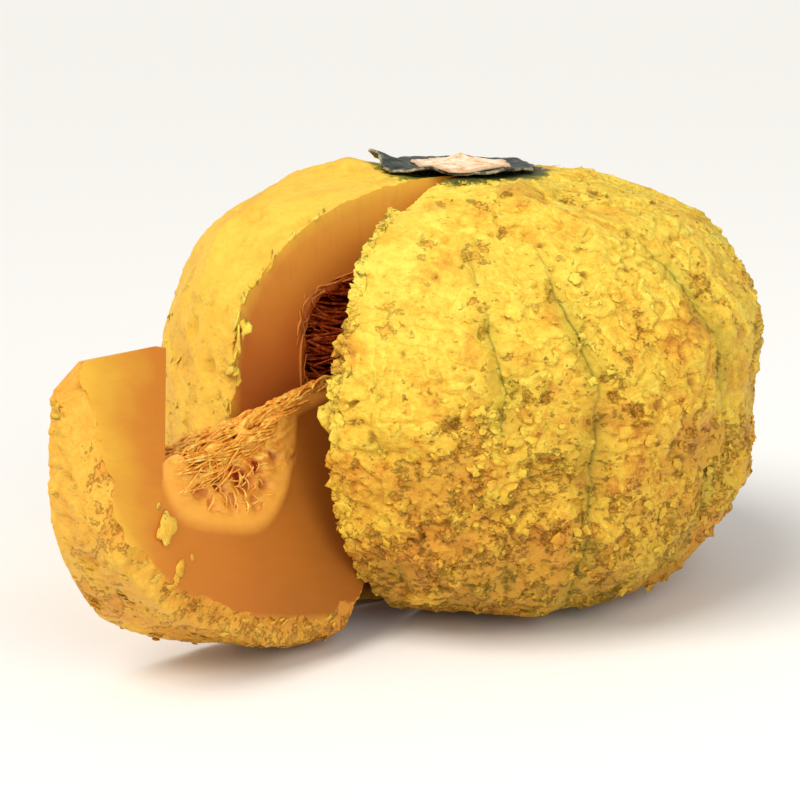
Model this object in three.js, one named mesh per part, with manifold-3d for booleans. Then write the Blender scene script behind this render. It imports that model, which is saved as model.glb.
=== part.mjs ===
// Kabocha squash, pared of its rind and with one wedge cut out. The wedge lies on its bulge in front
// of its notch, tipped outward. A disc of rind with the corky stem scar is left on the crown.
//
// Millimetres, +Z up. The origin is the middle of the flat base, on the squash's own axis, and the
// notch opens towards -Y. The wedge is modelled where it grew, then tipped by its group.

import * as THREE from 'three';
import { mergeVertices } from 'three/addons/utils/BufferGeometryUtils.js';
import Module from 'manifold-3d';

const wasm = await Module();
wasm.setup();

// ---- Driving dimensions ------------------------------------------------------------------------

const BODY_RADIUS = 90;
const EQUATOR_Z = 66.9; // level of the widest ring
const CROWN = { height: 61.2, power: 2.48 }; // superellipse above the widest ring
const BELLY = { height: 67.7, power: 3.2 }; // and below it; what lies under z = 0 is the flat base

const CAVITY = { radius: 66, halfHeight: 29, z: 73.5, power: 2.4 }; // seed cavity
const PULP_THICKNESS = 4.5; // stringy lining left on the cavity wall
const GAP = 0.4; // clearance between separate pieces

const NOTCH = { x: 11.25, y: -13, halfAngle: 15 }; // edge where the two knife cuts met, and its spread
const WEDGE_HALF_ANGLE = 13.5; // a little flesh went with the knife
const WEDGE_REST = {
  onto: [12.4, -113.9], // where the bulge touches down
  tip: 75, // turned outward about X
  roll: -8.5, // leaned towards its near side
  swing: -0.7,
};
const BASE_CUT = { z: 2, rise: 0.43 }; // the wedge's base corner is pared off, z + rise per mm out
const STEM_CUT = { z: 97, rise: 3.4 }; // and the thin edge that lay under the rind disc
const ARM_CUT = { z: 16, rise: 2.19, below: 60 }; // the thin edge under the cavity, torn off
const WEDGE_ROOF_Z = 96.5; // flesh of the wedge's arm hangs lower than the cavity's roof
const REST_FLAT = 0.7; // depth of the flat that the wedge rests on

const TORN = { size: 11, depth: 1.7, crack: 1.0 }; // ragged terraces left by paring
const FACET = { size: 36, depth: 1.0 }; // broad unevenness
const STRIPS = { count: 24, depth: 0.5 }; // meridional knife strokes
const DIMPLES = { size: 17, depth: 1.1 }; // shallow hollows on the smoother lobe
const SMOOTH_LOBE = { angle: -122, spread: 30 }; // where the knife went clean, degrees about +Z
const SHOULDERS = [ // raised flesh beside the disc, and further down the same side
  { angle: -138, radius: 31, spread: 10, height: 3 },
  { angle: -138, radius: 62, spread: 20, height: 2.2 },
];
const STEM_DIP = { depth: 2.6, spread: 24 }; // the crown sinks towards the stem
const BASE_FADE = 9; // relief dies out within this height of the base

const CAP = { radius: 27.5, thickness: 1.5, clearance: 0.7 };
const CAP_FLAP = { angle: -138, height: 1.4 }; // the edge that curls up
const SCAR = { radius: 14.5, height: 3.4, rim: 0.8, lobes: 5 };
const SCAR_TONGUE = { angle: -48, reach: 0.6 }; // the scar runs on over one side of the disc

const FLESH_COLOUR = 0xecbf40;
const WEDGE_COLOUR = 0xe6a23a;
const PULP_COLOUR = 0x8a3c14;
const WEDGE_PULP_COLOUR = 0xd9822c;
const RIND_COLOUR = 0x3f4d49;
const SCAR_COLOUR = 0xe2c69a;

// ---- Seeded fields -----------------------------------------------------------------------------

// A repeatable value from -1 to 1 for one cell of a lattice.
function cellValue(i, j, k, salt) {
  let hash = Math.imul(i, 374761393) ^ Math.imul(j, 668265263);
  hash ^= Math.imul(k, 1440662683) ^ Math.imul(salt, 1274126177);
  hash = Math.imul(hash ^ (hash >>> 13), 1103515245);
  hash = Math.imul(hash ^ (hash >>> 16), 668265263);
  return ((hash ^ (hash >>> 15)) >>> 0) / 2147483648 - 1;
}

const ease = (t) => t * t * (3 - 2 * t);
const clamp01 = (t) => Math.min(1, Math.max(0, t));
const radians = (degrees) => (degrees * Math.PI) / 180;

// Smooth unevenness from -1 to 1, with hills about `size` across.
function smoothField(x, y, z, size, salt) {
  const at = [x / size, y / size, z / size];
  const low = at.map(Math.floor);
  const part = at.map((value, axis) => ease(value - low[axis]));
  let sum = 0;
  for (let corner = 0; corner < 8; corner += 1) {
    const step = [corner & 1, (corner >> 1) & 1, (corner >> 2) & 1];
    const share = step.map((s, axis) => (s ? part[axis] : 1 - part[axis]));
    const value = cellValue(low[0] + step[0], low[1] + step[1], low[2] + step[2], salt);
    sum += value * share[0] * share[1] * share[2];
  }
  return sum;
}

// Torn plates about `size` across: each has its own level, and a crack runs between neighbours.
function tornField(x, y, z, size, salt) {
  const at = [x / size, y / size, z / size];
  const low = at.map(Math.floor);
  let nearest = Infinity;
  let second = Infinity;
  let level = 0;
  for (let i = -1; i <= 1; i += 1) {
    for (let j = -1; j <= 1; j += 1) {
      for (let k = -1; k <= 1; k += 1) {
        const cell = [low[0] + i, low[1] + j, low[2] + k];
        const seed = cell.map((c, axis) => c + 0.5 + 0.45 * cellValue(...cell, salt + axis));
        const distance = Math.hypot(seed[0] - at[0], seed[1] - at[1], seed[2] - at[2]);
        if (distance < nearest) {
          second = nearest;
          nearest = distance;
          level = cellValue(...cell, salt + 3);
        } else if (distance < second) {
          second = distance;
        }
      }
    }
  }
  return { level, crack: 1 - clamp01((second - nearest) / 0.3) };
}

// ---- Solids ------------------------------------------------------------------------------------

// A closed mesh with its shared corners merged, as a solid that can be joined and cut.
function solidOf(geometry) {
  const bare = new THREE.BufferGeometry();
  bare.setAttribute('position', geometry.getAttribute('position'));
  bare.setIndex(geometry.index);
  const merged = mergeVertices(bare, 1e-4);
  const corners = merged.index.array;
  const kept = [];
  for (let n = 0; n < corners.length; n += 3) {
    const [a, b, c] = [corners[n], corners[n + 1], corners[n + 2]];
    if (a !== b && b !== c && c !== a) {
      kept.push(a, b, c);
    }
  }
  return new wasm.Manifold(new wasm.Mesh({
    numProp: 3,
    vertProperties: new Float32Array(merged.getAttribute('position').array),
    triVerts: new Uint32Array(kept),
  }));
}

function geometryOf(solid) {
  const mesh = solid.getMesh();
  const geometry = new THREE.BufferGeometry();
  geometry.setAttribute('position', new THREE.BufferAttribute(mesh.vertProperties, 3));
  geometry.setIndex(new THREE.BufferAttribute(mesh.triVerts, 1));
  geometry.computeVertexNormals();
  return geometry;
}

// Moves every vertex of a merged geometry to where `place` puts it.
function reshape(geometry, place) {
  geometry.deleteAttribute('normal');
  geometry.deleteAttribute('uv');
  const merged = mergeVertices(geometry, 1e-5);
  const position = merged.getAttribute('position');
  const point = new THREE.Vector3();
  for (let n = 0; n < position.count; n += 1) {
    point.fromBufferAttribute(position, n);
    place(point);
    position.setXYZ(n, point.x, point.y, point.z);
  }
  return merged;
}

// A flattened ball of even triangles, each half a superellipse of revolution about +Z.
function superBall(detail, radius, top, bottom, centreZ, relief) {
  const outward = new THREE.Vector3();
  return reshape(new THREE.IcosahedronGeometry(1, detail), (point) => {
    const half = point.z >= 0 ? top : bottom;
    const across = Math.hypot(point.x, point.y);
    const fit = (across ** half.power + Math.abs(point.z) ** half.power) ** (-1 / half.power);
    const slope = (across * fit) ** (half.power - 1) / radius / (across || 1);
    const rise = (Math.abs(point.z) * fit) ** (half.power - 1) / half.height;
    outward.set(point.x * slope, point.y * slope, Math.sign(point.z) * rise).normalize();
    point.set(point.x * radius, point.y * radius, point.z * half.height).multiplyScalar(fit);
    point.z += centreZ;
    point.addScaledVector(outward, relief(point));
  });
}

// A closed profile turned about +Z.
function turned(points, segments) {
  return new THREE.LatheGeometry(points, segments).rotateX(Math.PI / 2);
}

// A straight-sided wedge of space between two upright knife cuts that meet at the notch's edge.
function betweenCuts(halfAngle) {
  const length = 2 * BODY_RADIUS;
  const spread = length * Math.tan(radians(halfAngle));
  const outline = new THREE.Shape();
  outline.moveTo(0, 0);
  outline.lineTo(-spread, -length);
  outline.lineTo(spread, -length);
  outline.closePath();
  const height = 2 * BODY_RADIUS;
  const block = new THREE.ExtrudeGeometry(outline, { depth: height, bevelEnabled: false });
  return solidOf(block.translate(NOTCH.x, NOTCH.y, -20));
}

// A block that fills everything on the +Z side of a plane, or under it when turned over.
function slab(matrix) {
  const size = 4 * BODY_RADIUS;
  const block = new THREE.BoxGeometry(size, size, size).translate(0, 0, size / 2);
  return solidOf(block.applyMatrix4(matrix));
}

// A fibre: a thin four-sided tube along a smooth curve through `points`.
function fibre(points, thickness, steps) {
  const section = new THREE.Shape();
  const sides = 4;
  for (let side = 0; side < sides; side += 1) {
    const angle = (2 * Math.PI * side) / sides;
    const at = [Math.cos(angle) * thickness / 2, Math.sin(angle) * thickness / 2];
    if (side === 0) {
      section.moveTo(...at);
    } else {
      section.lineTo(...at);
    }
  }
  section.closePath();
  const path = new THREE.CatmullRomCurve3(points);
  return solidOf(new THREE.ExtrudeGeometry(section, { steps, bevelEnabled: false, extrudePath: path }));
}

// ---- Pared flesh -------------------------------------------------------------------------------

// How much of the surface at this bearing was torn rather than cut clean, 0 to 1.
function tornShare(x, y, z) {
  const bearing = THREE.MathUtils.radToDeg(Math.atan2(y, x));
  const off = Math.abs(THREE.MathUtils.euclideanModulo(bearing - SMOOTH_LOBE.angle + 180, 360) - 180);
  const clean = 1 - clamp01((off - SMOOTH_LOBE.spread) / 12);
  return 1 - 0.75 * clean - 0.2 * clamp01(smoothField(x, y, z, 55, 90));
}

// How far the crown stands above its smooth curve: shoulders, less the hollow round the stem.
function crownRise(x, y) {
  let rise = -STEM_DIP.depth * Math.exp(-(x * x + y * y) / STEM_DIP.spread ** 2);
  for (const { angle, radius, spread, height } of SHOULDERS) {
    const dx = x - radius * Math.cos(radians(angle));
    const dy = y - radius * Math.sin(radians(angle));
    rise += height * Math.exp(-(dx * dx + dy * dy) / spread ** 2);
  }
  return rise;
}

// Height of the pared surface above the smooth squash, along its normal.
function paredRelief({ x, y, z }) {
  const across = Math.hypot(x, y);
  const nearCap = z > EQUATOR_Z ? 1 - clamp01((across - CAP.radius) / 5) : 0;
  const fade = ease(clamp01(z / BASE_FADE)) * (1 - nearCap);
  const torn = tornField(x, y, z, TORN.size, 11);
  const rough = tornShare(x, y, z);
  const plates = rough * (TORN.depth * torn.level - TORN.crack * torn.crack);
  const broad = FACET.depth * smoothField(x, y, z, FACET.size, 31);
  const hollows = (1 - rough) * DIMPLES.depth * smoothField(x, y, z, DIMPLES.size, 51);
  const strokes = -STRIPS.depth * Math.abs(Math.sin((STRIPS.count / 2) * Math.atan2(y, x)));
  const crown = z > EQUATOR_Z ? crownRise(x, y) : 0;
  return fade * (plates + broad + hollows + strokes) + crown;
}

function skin(detail) {
  return solidOf(superBall(detail, BODY_RADIUS, CROWN, BELLY, EQUATOR_Z, paredRelief));
}

// The seed cavity, drawn in by `inset` all round.
function cavity(inset) {
  const rings = 12;
  const points = [];
  for (let ring = 0; ring <= rings; ring += 1) {
    const angle = Math.PI * (ring / rings - 0.5);
    const across = Math.abs(Math.cos(angle)) ** (2 / CAVITY.power) * (CAVITY.radius - inset);
    const up = Math.abs(Math.sin(angle)) ** (2 / CAVITY.power) * (CAVITY.halfHeight - inset);
    const onAxis = ring === 0 || ring === rings;
    points.push(new THREE.Vector2(onAxis ? 0 : across, CAVITY.z + Math.sign(angle) * up));
  }
  return solidOf(turned(points, 36));
}

function bodyFlesh() {
  const aboveBase = slab(new THREE.Matrix4());
  return skin(18).intersect(aboveBase).subtract(cavity(0)).subtract(betweenCuts(NOTCH.halfAngle));
}

// ---- Stringy lining of the cavity --------------------------------------------------------------

// Fibres run round the cavity, so the relief is drawn out along the bearing.
function liningRelief({ x, y, z }) {
  const bearing = Math.atan2(y, x) * CAVITY.radius;
  return 1.3 * smoothField(bearing * 0.35, Math.hypot(x, y) * 0.5, z, 5, 61);
}

// A loose fibre that leaves the lining, bows into the cavity and goes back in.
function cavityFibre(index) {
  const level = CAVITY.z + 17 * cellValue(index, 1, 0, 71);
  const start = 172 + 26 * cellValue(index, 2, 0, 71);
  const sweep = 42 + 14 * cellValue(index, 3, 0, 71);
  const points = [];
  for (let step = 0; step <= 4; step += 1) {
    const bearing = radians(start + (sweep * step) / 4);
    const z = level - 2.5 * (step / 2 - 1);
    const rise = Math.abs(z - CAVITY.z) / (CAVITY.halfHeight - PULP_THICKNESS);
    const reach = (1 - rise ** CAVITY.power) ** (1 / CAVITY.power);
    const wall = (CAVITY.radius - PULP_THICKNESS) * reach;
    const away = step === 0 || step === 4 ? -1.2 : 3.2;
    points.push(new THREE.Vector3(Math.cos(bearing), Math.sin(bearing), 0)
      .multiplyScalar(wall - away)
      .setZ(z));
  }
  return fibre(points, 1.8, 7);
}

function bodyPulp() {
  const inner = CAVITY.radius - PULP_THICKNESS;
  const half = { height: CAVITY.halfHeight - PULP_THICKNESS, power: CAVITY.power };
  const hollow = solidOf(superBall(7, inner, half, half, CAVITY.z, liningRelief));
  let pulp = cavity(GAP).subtract(hollow);
  for (let index = 0; index < 9; index += 1) {
    pulp = pulp.add(cavityFibre(index));
  }
  return pulp.subtract(betweenCuts(NOTCH.halfAngle + 1));
}

// ---- Wedge -------------------------------------------------------------------------------------

const wedgeFace = {
  along: new THREE.Vector3(Math.sin(radians(WEDGE_HALF_ANGLE)), -Math.cos(radians(WEDGE_HALF_ANGLE)), 0),
  outward: new THREE.Vector3(Math.cos(radians(WEDGE_HALF_ANGLE)), Math.sin(radians(WEDGE_HALF_ANGLE)), 0),
};

// A point on the wedge's near cut face: `along` mm out from its edge, at height z, `proud` of it.
function onNearFace(along, z, proud) {
  return new THREE.Vector3(NOTCH.x, NOTCH.y, z)
    .addScaledVector(wedgeFace.along, along)
    .addScaledVector(wedgeFace.outward, proud);
}

// Everything above a slanted cut, or under it when turned over. It rises by `rise` for each mm
// outward from the notch's edge.
function slantedCut({ z, rise }, turnedOver) {
  const matrix = new THREE.Matrix4().makeTranslation(NOTCH.x, NOTCH.y, z);
  matrix.multiply(new THREE.Matrix4().makeRotationX(-Math.atan(rise)));
  if (turnedOver) {
    matrix.multiply(new THREE.Matrix4().makeRotationX(Math.PI));
  }
  return slab(matrix);
}

// A scrap of pared flesh stuck to the near cut face.
function stuckScrap(along, z, length, width, salt) {
  const centre = onNearFace(along, z, 0.2);
  const scrap = reshape(new THREE.IcosahedronGeometry(1, 1), (point) => {
    const ragged = 1 + 0.22 * cellValue(Math.round(point.x * 9), Math.round(point.y * 9), salt, 81);
    const offset = new THREE.Vector3()
      .addScaledVector(wedgeFace.along, (point.x * width * ragged) / 2)
      .addScaledVector(wedgeFace.outward, point.y * 1.3);
    point.set(0, 0, (point.z * length * ragged) / 2).add(offset).add(centre);
  });
  return solidOf(scrap);
}

const above = (z) => slab(new THREE.Matrix4().makeTranslation(0, 0, z));

// What the wedge has lost along its inner edge, under the cavity, `lift` mm clear of the flesh there.
function armSpace(lift) {
  return slantedCut({ z: ARM_CUT.z + lift, rise: ARM_CUT.rise }, false).subtract(above(ARM_CUT.below));
}

function wedgeFlesh() {
  let flesh = skin(26).intersect(betweenCuts(WEDGE_HALF_ANGLE));
  flesh = flesh.subtract(cavity(0).subtract(above(WEDGE_ROOF_Z))).subtract(armSpace(0));
  flesh = flesh.subtract(slantedCut(BASE_CUT, true)).subtract(slantedCut(STEM_CUT, false));
  flesh = flesh.add(stuckScrap(50, 98, 12, 8, 1)).add(stuckScrap(59, 94.5, 6, 4.5, 2));
  return flesh;
}

// How far out from the notch's edge the wedge's pulp begins, at height z.
const pulpEdge = (z) => Math.max(4, 27 - 0.47 * (83 - Math.min(z, 88)));

// The fibrous mass that stayed in the wedge: a block with ragged, stringy faces, kept inside the
// cavity wall. It runs on over the torn inner edge.
function wedgePulp() {
  const low = ARM_CUT.z + 10;
  const high = CAVITY.z + CAVITY.halfHeight + 2;
  const spread = Math.tan(radians(WEDGE_HALF_ANGLE));
  const block = reshape(new THREE.BoxGeometry(1, 1, 1, 6, 11, 16), (point) => {
    const z = low + (point.z + 0.5) * (high - low);
    const depth = 0.5 - point.y; // 0 at the ragged edge, 1 against the cavity wall
    const side = point.x * 2;
    const tuft = smoothField(side * 9, depth * 4, z, 4.5, 101) * 2.6 * (1 - depth) ** 3;
    const out = pulpEdge(z) + depth * (CAVITY.radius - pulpEdge(z)) + tuft;
    const grain = smoothField(out * 0.45 + z * 0.2, side * 2, z - out * 0.35, 3.2, 111);
    const hollow = Math.abs(side) > 0.99 ? (grain - 0.5) * clamp01((out - 4) / 8) : 0;
    point.set(NOTCH.x + side * (out * spread + hollow), NOTCH.y - out, z);
  });
  let pulp = solidOf(block);
  for (let index = 0; index < 8; index += 1) {
    pulp = pulp.add(faceFibre(index));
  }
  const room = cavity(GAP).subtract(above(WEDGE_ROOF_Z - GAP)).add(armSpace(1));
  return pulp.intersect(room);
}

// A fibre that lies across the near face of the wedge's pulp, from near its wall to the ragged edge.
function faceFibre(index) {
  const z = 50 + 5.6 * index;
  const from = pulpEdge(z) + 3 + 3 * cellValue(index, 1, 0, 121);
  const length = 15 + 4 * cellValue(index, 2, 0, 121);
  const points = [];
  for (let step = 0; step <= 3; step += 1) {
    const along = from + (length * step) / 3;
    const drift = 2.2 * cellValue(index, step, 3, 121);
    points.push(onNearFace(along, z + 0.35 * (along - from) + drift, step % 3 ? 0.5 : -1.4));
  }
  return fibre(points, 1.5, 7);
}

// The group that carries the wedge, tipped about the middle of its bulge and lowered to the table.
function tippedWedge() {
  const bulge = new THREE.Vector3(NOTCH.x, 2 - BODY_RADIUS, EQUATOR_Z);
  const group = new THREE.Group();
  const turn = [WEDGE_REST.tip, WEDGE_REST.roll, WEDGE_REST.swing].map(radians);
  group.rotation.set(...turn, 'ZYX');
  group.updateMatrix();
  const flesh = geometryOf(wedgeFlesh()).translate(-bulge.x, -bulge.y, -bulge.z);
  const turnedFlesh = flesh.clone().applyMatrix4(group.matrix);
  turnedFlesh.computeBoundingBox();
  group.position.set(...WEDGE_REST.onto, -turnedFlesh.boundingBox.min.z - REST_FLAT);
  group.updateMatrix();
  const aboveTable = slab(group.matrix.clone().invert());
  const cut = geometryOf(solidOf(flesh).intersect(aboveTable));
  const pulp = geometryOf(wedgePulp()).translate(-bulge.x, -bulge.y, -bulge.z);
  group.add(piece('wedge_flesh', cut, WEDGE_COLOUR, 0.55));
  group.add(piece('wedge_pulp', pulp, WEDGE_PULP_COLOUR, 0.5));
  return group;
}

// ---- Stem end ----------------------------------------------------------------------------------

// Height of the crown's surface, without its torn relief.
function crownZ(x, y) {
  const reach = Math.min(1, Math.hypot(x, y) / BODY_RADIUS);
  return EQUATOR_Z + CROWN.height * (1 - reach ** CROWN.power) ** (1 / CROWN.power) + crownRise(x, y);
}

// How far the disc of rind stands off the crown: flat under the scar, waved and curled at its edge.
function capLift(x, y) {
  const out = clamp01((Math.hypot(x, y) - SCAR.radius) / (CAP.radius - SCAR.radius));
  const bearing = Math.atan2(y, x);
  const wave = 0.5 + 0.35 * Math.sin(3 * bearing + 0.6) + 0.3 * Math.sin(7 * bearing + 2);
  const curl = Math.max(0, Math.cos(bearing - radians(CAP_FLAP.angle))) ** 6;
  return out ** 1.5 * (1.1 * wave + CAP_FLAP.height * curl);
}

function rindCap() {
  const rings = 5;
  const points = [];
  for (let ring = 0; ring <= rings; ring += 1) {
    points.push(new THREE.Vector2((CAP.radius * ring) / rings, 0));
  }
  for (let ring = rings; ring >= 0; ring -= 1) {
    const across = (CAP.radius - 0.4) * (ring / rings);
    points.push(new THREE.Vector2(across, CAP.thickness * (1 - 0.3 * (ring / rings) ** 2)));
  }
  return solidOf(reshape(turned(points, 38), (point) => {
    const bearing = Math.atan2(point.y, point.x);
    const ragged = 1 - 0.05 * Math.abs(Math.sin(2.5 * bearing + 1)) + 0.03 * Math.sin(9 * bearing);
    point.x *= ragged;
    point.y *= ragged;
    point.z += crownZ(point.x, point.y) + CAP.clearance + capLift(point.x, point.y);
  }));
}

function stemScar() {
  const rings = 5;
  const points = [];
  for (let ring = 0; ring <= rings; ring += 1) {
    points.push(new THREE.Vector2((SCAR.radius * ring) / rings, 0));
  }
  for (let ring = rings; ring >= 0; ring -= 1) {
    const out = ring / rings;
    const height = SCAR.rim + (SCAR.height - SCAR.rim) * (1 - out) ** 1.8;
    points.push(new THREE.Vector2((SCAR.radius - 0.5) * out, height));
  }
  return solidOf(reshape(turned(points, 30), (point) => {
    const bearing = Math.atan2(point.y, point.x);
    const tongue = Math.max(0, Math.cos(bearing - radians(SCAR_TONGUE.angle))) ** 3;
    const lobed = 1 + 0.07 * Math.cos(SCAR.lobes * bearing) + SCAR_TONGUE.reach * tongue;
    const ridge = point.z > 0 ? 0.3 * Math.cos(SCAR.lobes * bearing) * (point.z / SCAR.height) : 0;
    const [x, y] = [point.x * lobed, point.y * lobed];
    const ground = crownZ(x, y) + CAP.clearance + capLift(x, y) + CAP.thickness + GAP;
    point.set(x, y, ground + point.z + ridge);
  }));
}

// ---- Assembly ----------------------------------------------------------------------------------

function piece(name, geometry, colour, roughness) {
  const material = new THREE.MeshStandardMaterial({ color: colour, roughness, metalness: 0 });
  const mesh = new THREE.Mesh(geometry, material);
  mesh.name = name;
  return mesh;
}

const squash = new THREE.Group();
squash.add(piece('squash_flesh', geometryOf(bodyFlesh()), FLESH_COLOUR, 0.6));
squash.add(piece('squash_pulp', geometryOf(bodyPulp()), PULP_COLOUR, 0.5));
squash.add(piece('rind_cap', geometryOf(rindCap()), RIND_COLOUR, 0.5));
squash.add(piece('stem_scar', geometryOf(stemScar()), SCAR_COLOUR, 0.9));
squash.add(tippedWedge());

export default squash;
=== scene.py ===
"""Kabocha squash, pared of its rind and cut: the finished surfaces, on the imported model's frame."""

import math
from itertools import product
from random import Random

import bmesh
import bpy
import numpy as np
from mathutils import Euler, Matrix, Vector


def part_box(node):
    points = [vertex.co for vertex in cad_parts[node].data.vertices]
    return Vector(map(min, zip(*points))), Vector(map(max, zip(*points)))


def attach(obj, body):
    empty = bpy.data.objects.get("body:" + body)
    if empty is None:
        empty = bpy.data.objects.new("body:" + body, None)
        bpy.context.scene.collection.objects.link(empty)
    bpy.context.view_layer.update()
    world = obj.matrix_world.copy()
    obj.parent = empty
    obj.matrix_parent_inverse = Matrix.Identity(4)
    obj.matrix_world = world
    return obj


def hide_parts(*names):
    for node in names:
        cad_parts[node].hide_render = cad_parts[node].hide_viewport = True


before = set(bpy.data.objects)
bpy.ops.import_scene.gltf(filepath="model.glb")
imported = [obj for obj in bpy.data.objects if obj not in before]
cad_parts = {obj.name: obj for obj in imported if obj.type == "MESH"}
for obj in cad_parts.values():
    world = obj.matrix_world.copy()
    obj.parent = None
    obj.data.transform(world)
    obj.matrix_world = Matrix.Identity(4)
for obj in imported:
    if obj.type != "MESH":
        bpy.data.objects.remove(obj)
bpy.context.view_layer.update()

MM = 0.001
PER_MM = 1 / MM  # the scale of a pattern whose features are 1 mm across

# ---- Sizes, in millimetres and degrees ----------------------------------------------------------

BODY_RADIUS = 90.0
EQUATOR_Z = 66.9
CROWN = (61.2, 2.48)  # half height above the widest ring, and the superellipse's power
BELLY = (67.7, 3.2)
SQUASH = (BODY_RADIUS, EQUATOR_Z, CROWN, BELLY)

CAVITY_RADIUS = 66.0
CAVITY_Z = 73.5
CAVITY_ROOF = (28.0, 5.0)  # half height and power, as for the crown
CAVITY_FLOOR = (29.0, 2.4)
PULP_THICKNESS = 4.5
GAP = 0.4  # clearance between the lining and the flesh

NOTCH_EDGE = (11.25, -13.0)  # upright edge where the two knife cuts met
NOTCH_HALF_ANGLE = 15.0
WEDGE_HALF_ANGLE = 13.5  # a little flesh went with the knife
WEDGE_ONTO = (12.4, -113.9)  # where the middle of the wedge's bulge comes to rest
WEDGE_TURN = (75.0, -8.5, -0.7)  # tip about X, roll about Y, swing about Z
WEDGE_RELIEF = 0.95  # the share of the pared relief that the wedge keeps
BASE_CUT = (2.0, 0.43)  # each slanted cut: its level at the notch's edge, and rise per mm outward
STEM_CUT = (97.0, 3.4)
ARM_CUT = (16.0, 2.19)
WEDGE_ROOF = (93.4, 0.11)
ARM_TOP = 60.0
WEDGE_CORNER = (NOTCH_EDGE[0], NOTCH_EDGE[1] - 6.8, 120.3)  # where its corner by the stem was cut off
CHAMFER = 4.6  # flesh pared off the wedge's corner, along its near face

SMOOTH_LOBE = (-122.0, 30.0)  # bearing of the side that was pared clean, and half its width
SHOULDERS = ((-138.0, 31.0, 10.0, 3.0), (-138.0, 62.0, 20.0, 2.2))  # bearing, radius, spread, rise
STEM_DIP = (2.6, 24.0)  # depth of the hollow round the stem, and its spread
BULGE = (-138.0, 24.0, 52.0, 15.0, 2.6)  # bearing and its spread, level and its spread, rise
GREEN_SIDE = -38.0  # bearing where the green collar round the stem is widest
BASE_FADE = 9.0  # relief dies out within this height of the base
SEAMS = (  # bearing of each seam of the squash, and how open it is
    (-63, -0.6),
    (-41, -0.3),
    (-23, 1.5),
    (4, 0.5),
    (26, 0.3),
    (47, 0.2),
    (70, 0.4),
    (95, 0.1),
    (118, 0.4),
    (140, 0.2),
    (165, 0.3),
    (188, 0.1),
)

CAP_RADIUS = 27.5
CAP_THICKNESS = 1.5
CAP_CLEARANCE = 0.7
RIM_LIFT = (  # bearing round the disc of rind, and how far its rim stands off the crown
    (-180, 0.9),
    (-150, 2.0),
    (-138, 2.7),
    (-122, 1.5),
    (-100, 0.3),
    (-86, 0.9),
    (-69, 1.9),
    (-56, 0.3),
    (-44, 0.1),
    (-22, 1.4),
    (2, 0.8),
    (24, 0.4),
    (42, 0.1),
    (75, 0.5),
    (110, 0.3),
    (145, 0.7),
    (180, 0.9),
)
SCAR_RADIUS = 15.0
SCAR_HEIGHT = 3.4
SCAR_RIM = 0.5  # thickness at its edge
SCAR_LOBES = 5
SCAR_TONGUE = (-44.0, 0.82)  # bearing where the scar runs on over the disc, and by how much of itself

BODY_TRIANGLES = 182000  # before its long triangles are split
LONGEST_EDGE = 7.0  # of a triangle on the flat cuts


def cavity_ball(inset):
    """The seed cavity's shape, drawn in all round."""
    halves = [(height - inset, power) for height, power in (CAVITY_ROOF, CAVITY_FLOOR)]
    return (CAVITY_RADIUS - inset, CAVITY_Z, *halves)


# ---- Seeded fields ------------------------------------------------------------------------------


def cell_value(cell, salt):
    """A repeatable value from -1 to 1 for each lattice cell."""
    i, j, k = cell.astype(np.uint32).T
    hashed = (i * np.uint32(374761393)) ^ (j * np.uint32(668265263))
    hashed ^= (k * np.uint32(1440662683)) ^ np.uint32(salt * 1274126177 & 0xFFFFFFFF)
    hashed = (hashed ^ (hashed >> 13)) * np.uint32(1103515245)
    hashed = (hashed ^ (hashed >> 16)) * np.uint32(668265263)
    return (hashed ^ (hashed >> 15)).astype(np.float64) / 2147483648 - 1


def ease(part):
    """A slow start and a slow end, from 0 to 1."""
    return part * part * (3 - 2 * part)


def clamp01(value):
    return np.clip(value, 0, 1)


def smooth_field(points, size, salt):
    """Smooth unevenness from -1 to 1, with hills about size across."""
    at = points / size
    low = np.floor(at).astype(np.int64)
    part = ease(at - low)
    total = np.zeros(len(points))
    for step in product((0, 1), repeat=3):
        share = np.prod(np.where(step, part, 1 - part), axis=1)
        total += share * cell_value(low + step, salt)
    return total


def torn_field(points, size, salt):
    """Torn plates: each one's level, the crack round it, its lean, and the distance from its seed."""
    at = points / size
    low = np.floor(at).astype(np.int64)
    nearest = np.full(len(points), np.inf)
    second = nearest.copy()
    level = np.zeros(len(points))
    lean = np.zeros(len(points))
    for step in product((-1, 0, 1), repeat=3):
        cell = low + step
        jitter = np.stack([cell_value(cell, salt + axis) for axis in range(3)], axis=1)
        offset = at - (cell + 0.5 + 0.45 * jitter)
        distance = np.linalg.norm(offset, axis=1)
        closer = distance < nearest
        second = np.where(closer, nearest, np.minimum(second, distance))
        nearest = np.where(closer, distance, nearest)
        own = cell_value(cell, salt + 3)
        level = np.where(closer, own, level)
        tip = np.stack([jitter[:, 1], jitter[:, 2], own], axis=1)
        lean = np.where(closer, np.sum(offset * tip, axis=1), lean)
    crack = 1 - clamp01((second - nearest) / 0.3)
    return level, crack, lean, nearest


# ---- Shapes that the fields sit on --------------------------------------------------------------


def ball_level(points, shape):
    """1 on the smooth surface, less inside it."""
    radius, middle, top, bottom = shape
    up = points[:, 2] - middle
    height = np.where(up >= 0, top[0], bottom[0])
    power = np.where(up >= 0, top[1], bottom[1])
    across = np.hypot(points[:, 0], points[:, 1]) / radius
    return (across**power + np.abs(up / height) ** power) ** (1 / power)


def on_ball(points, shape):
    """Each point moved along its line from the middle onto the smooth surface."""
    middle = np.array([0, 0, shape[1]])
    return middle + (points - middle) / ball_level(points, shape)[:, None]


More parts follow.
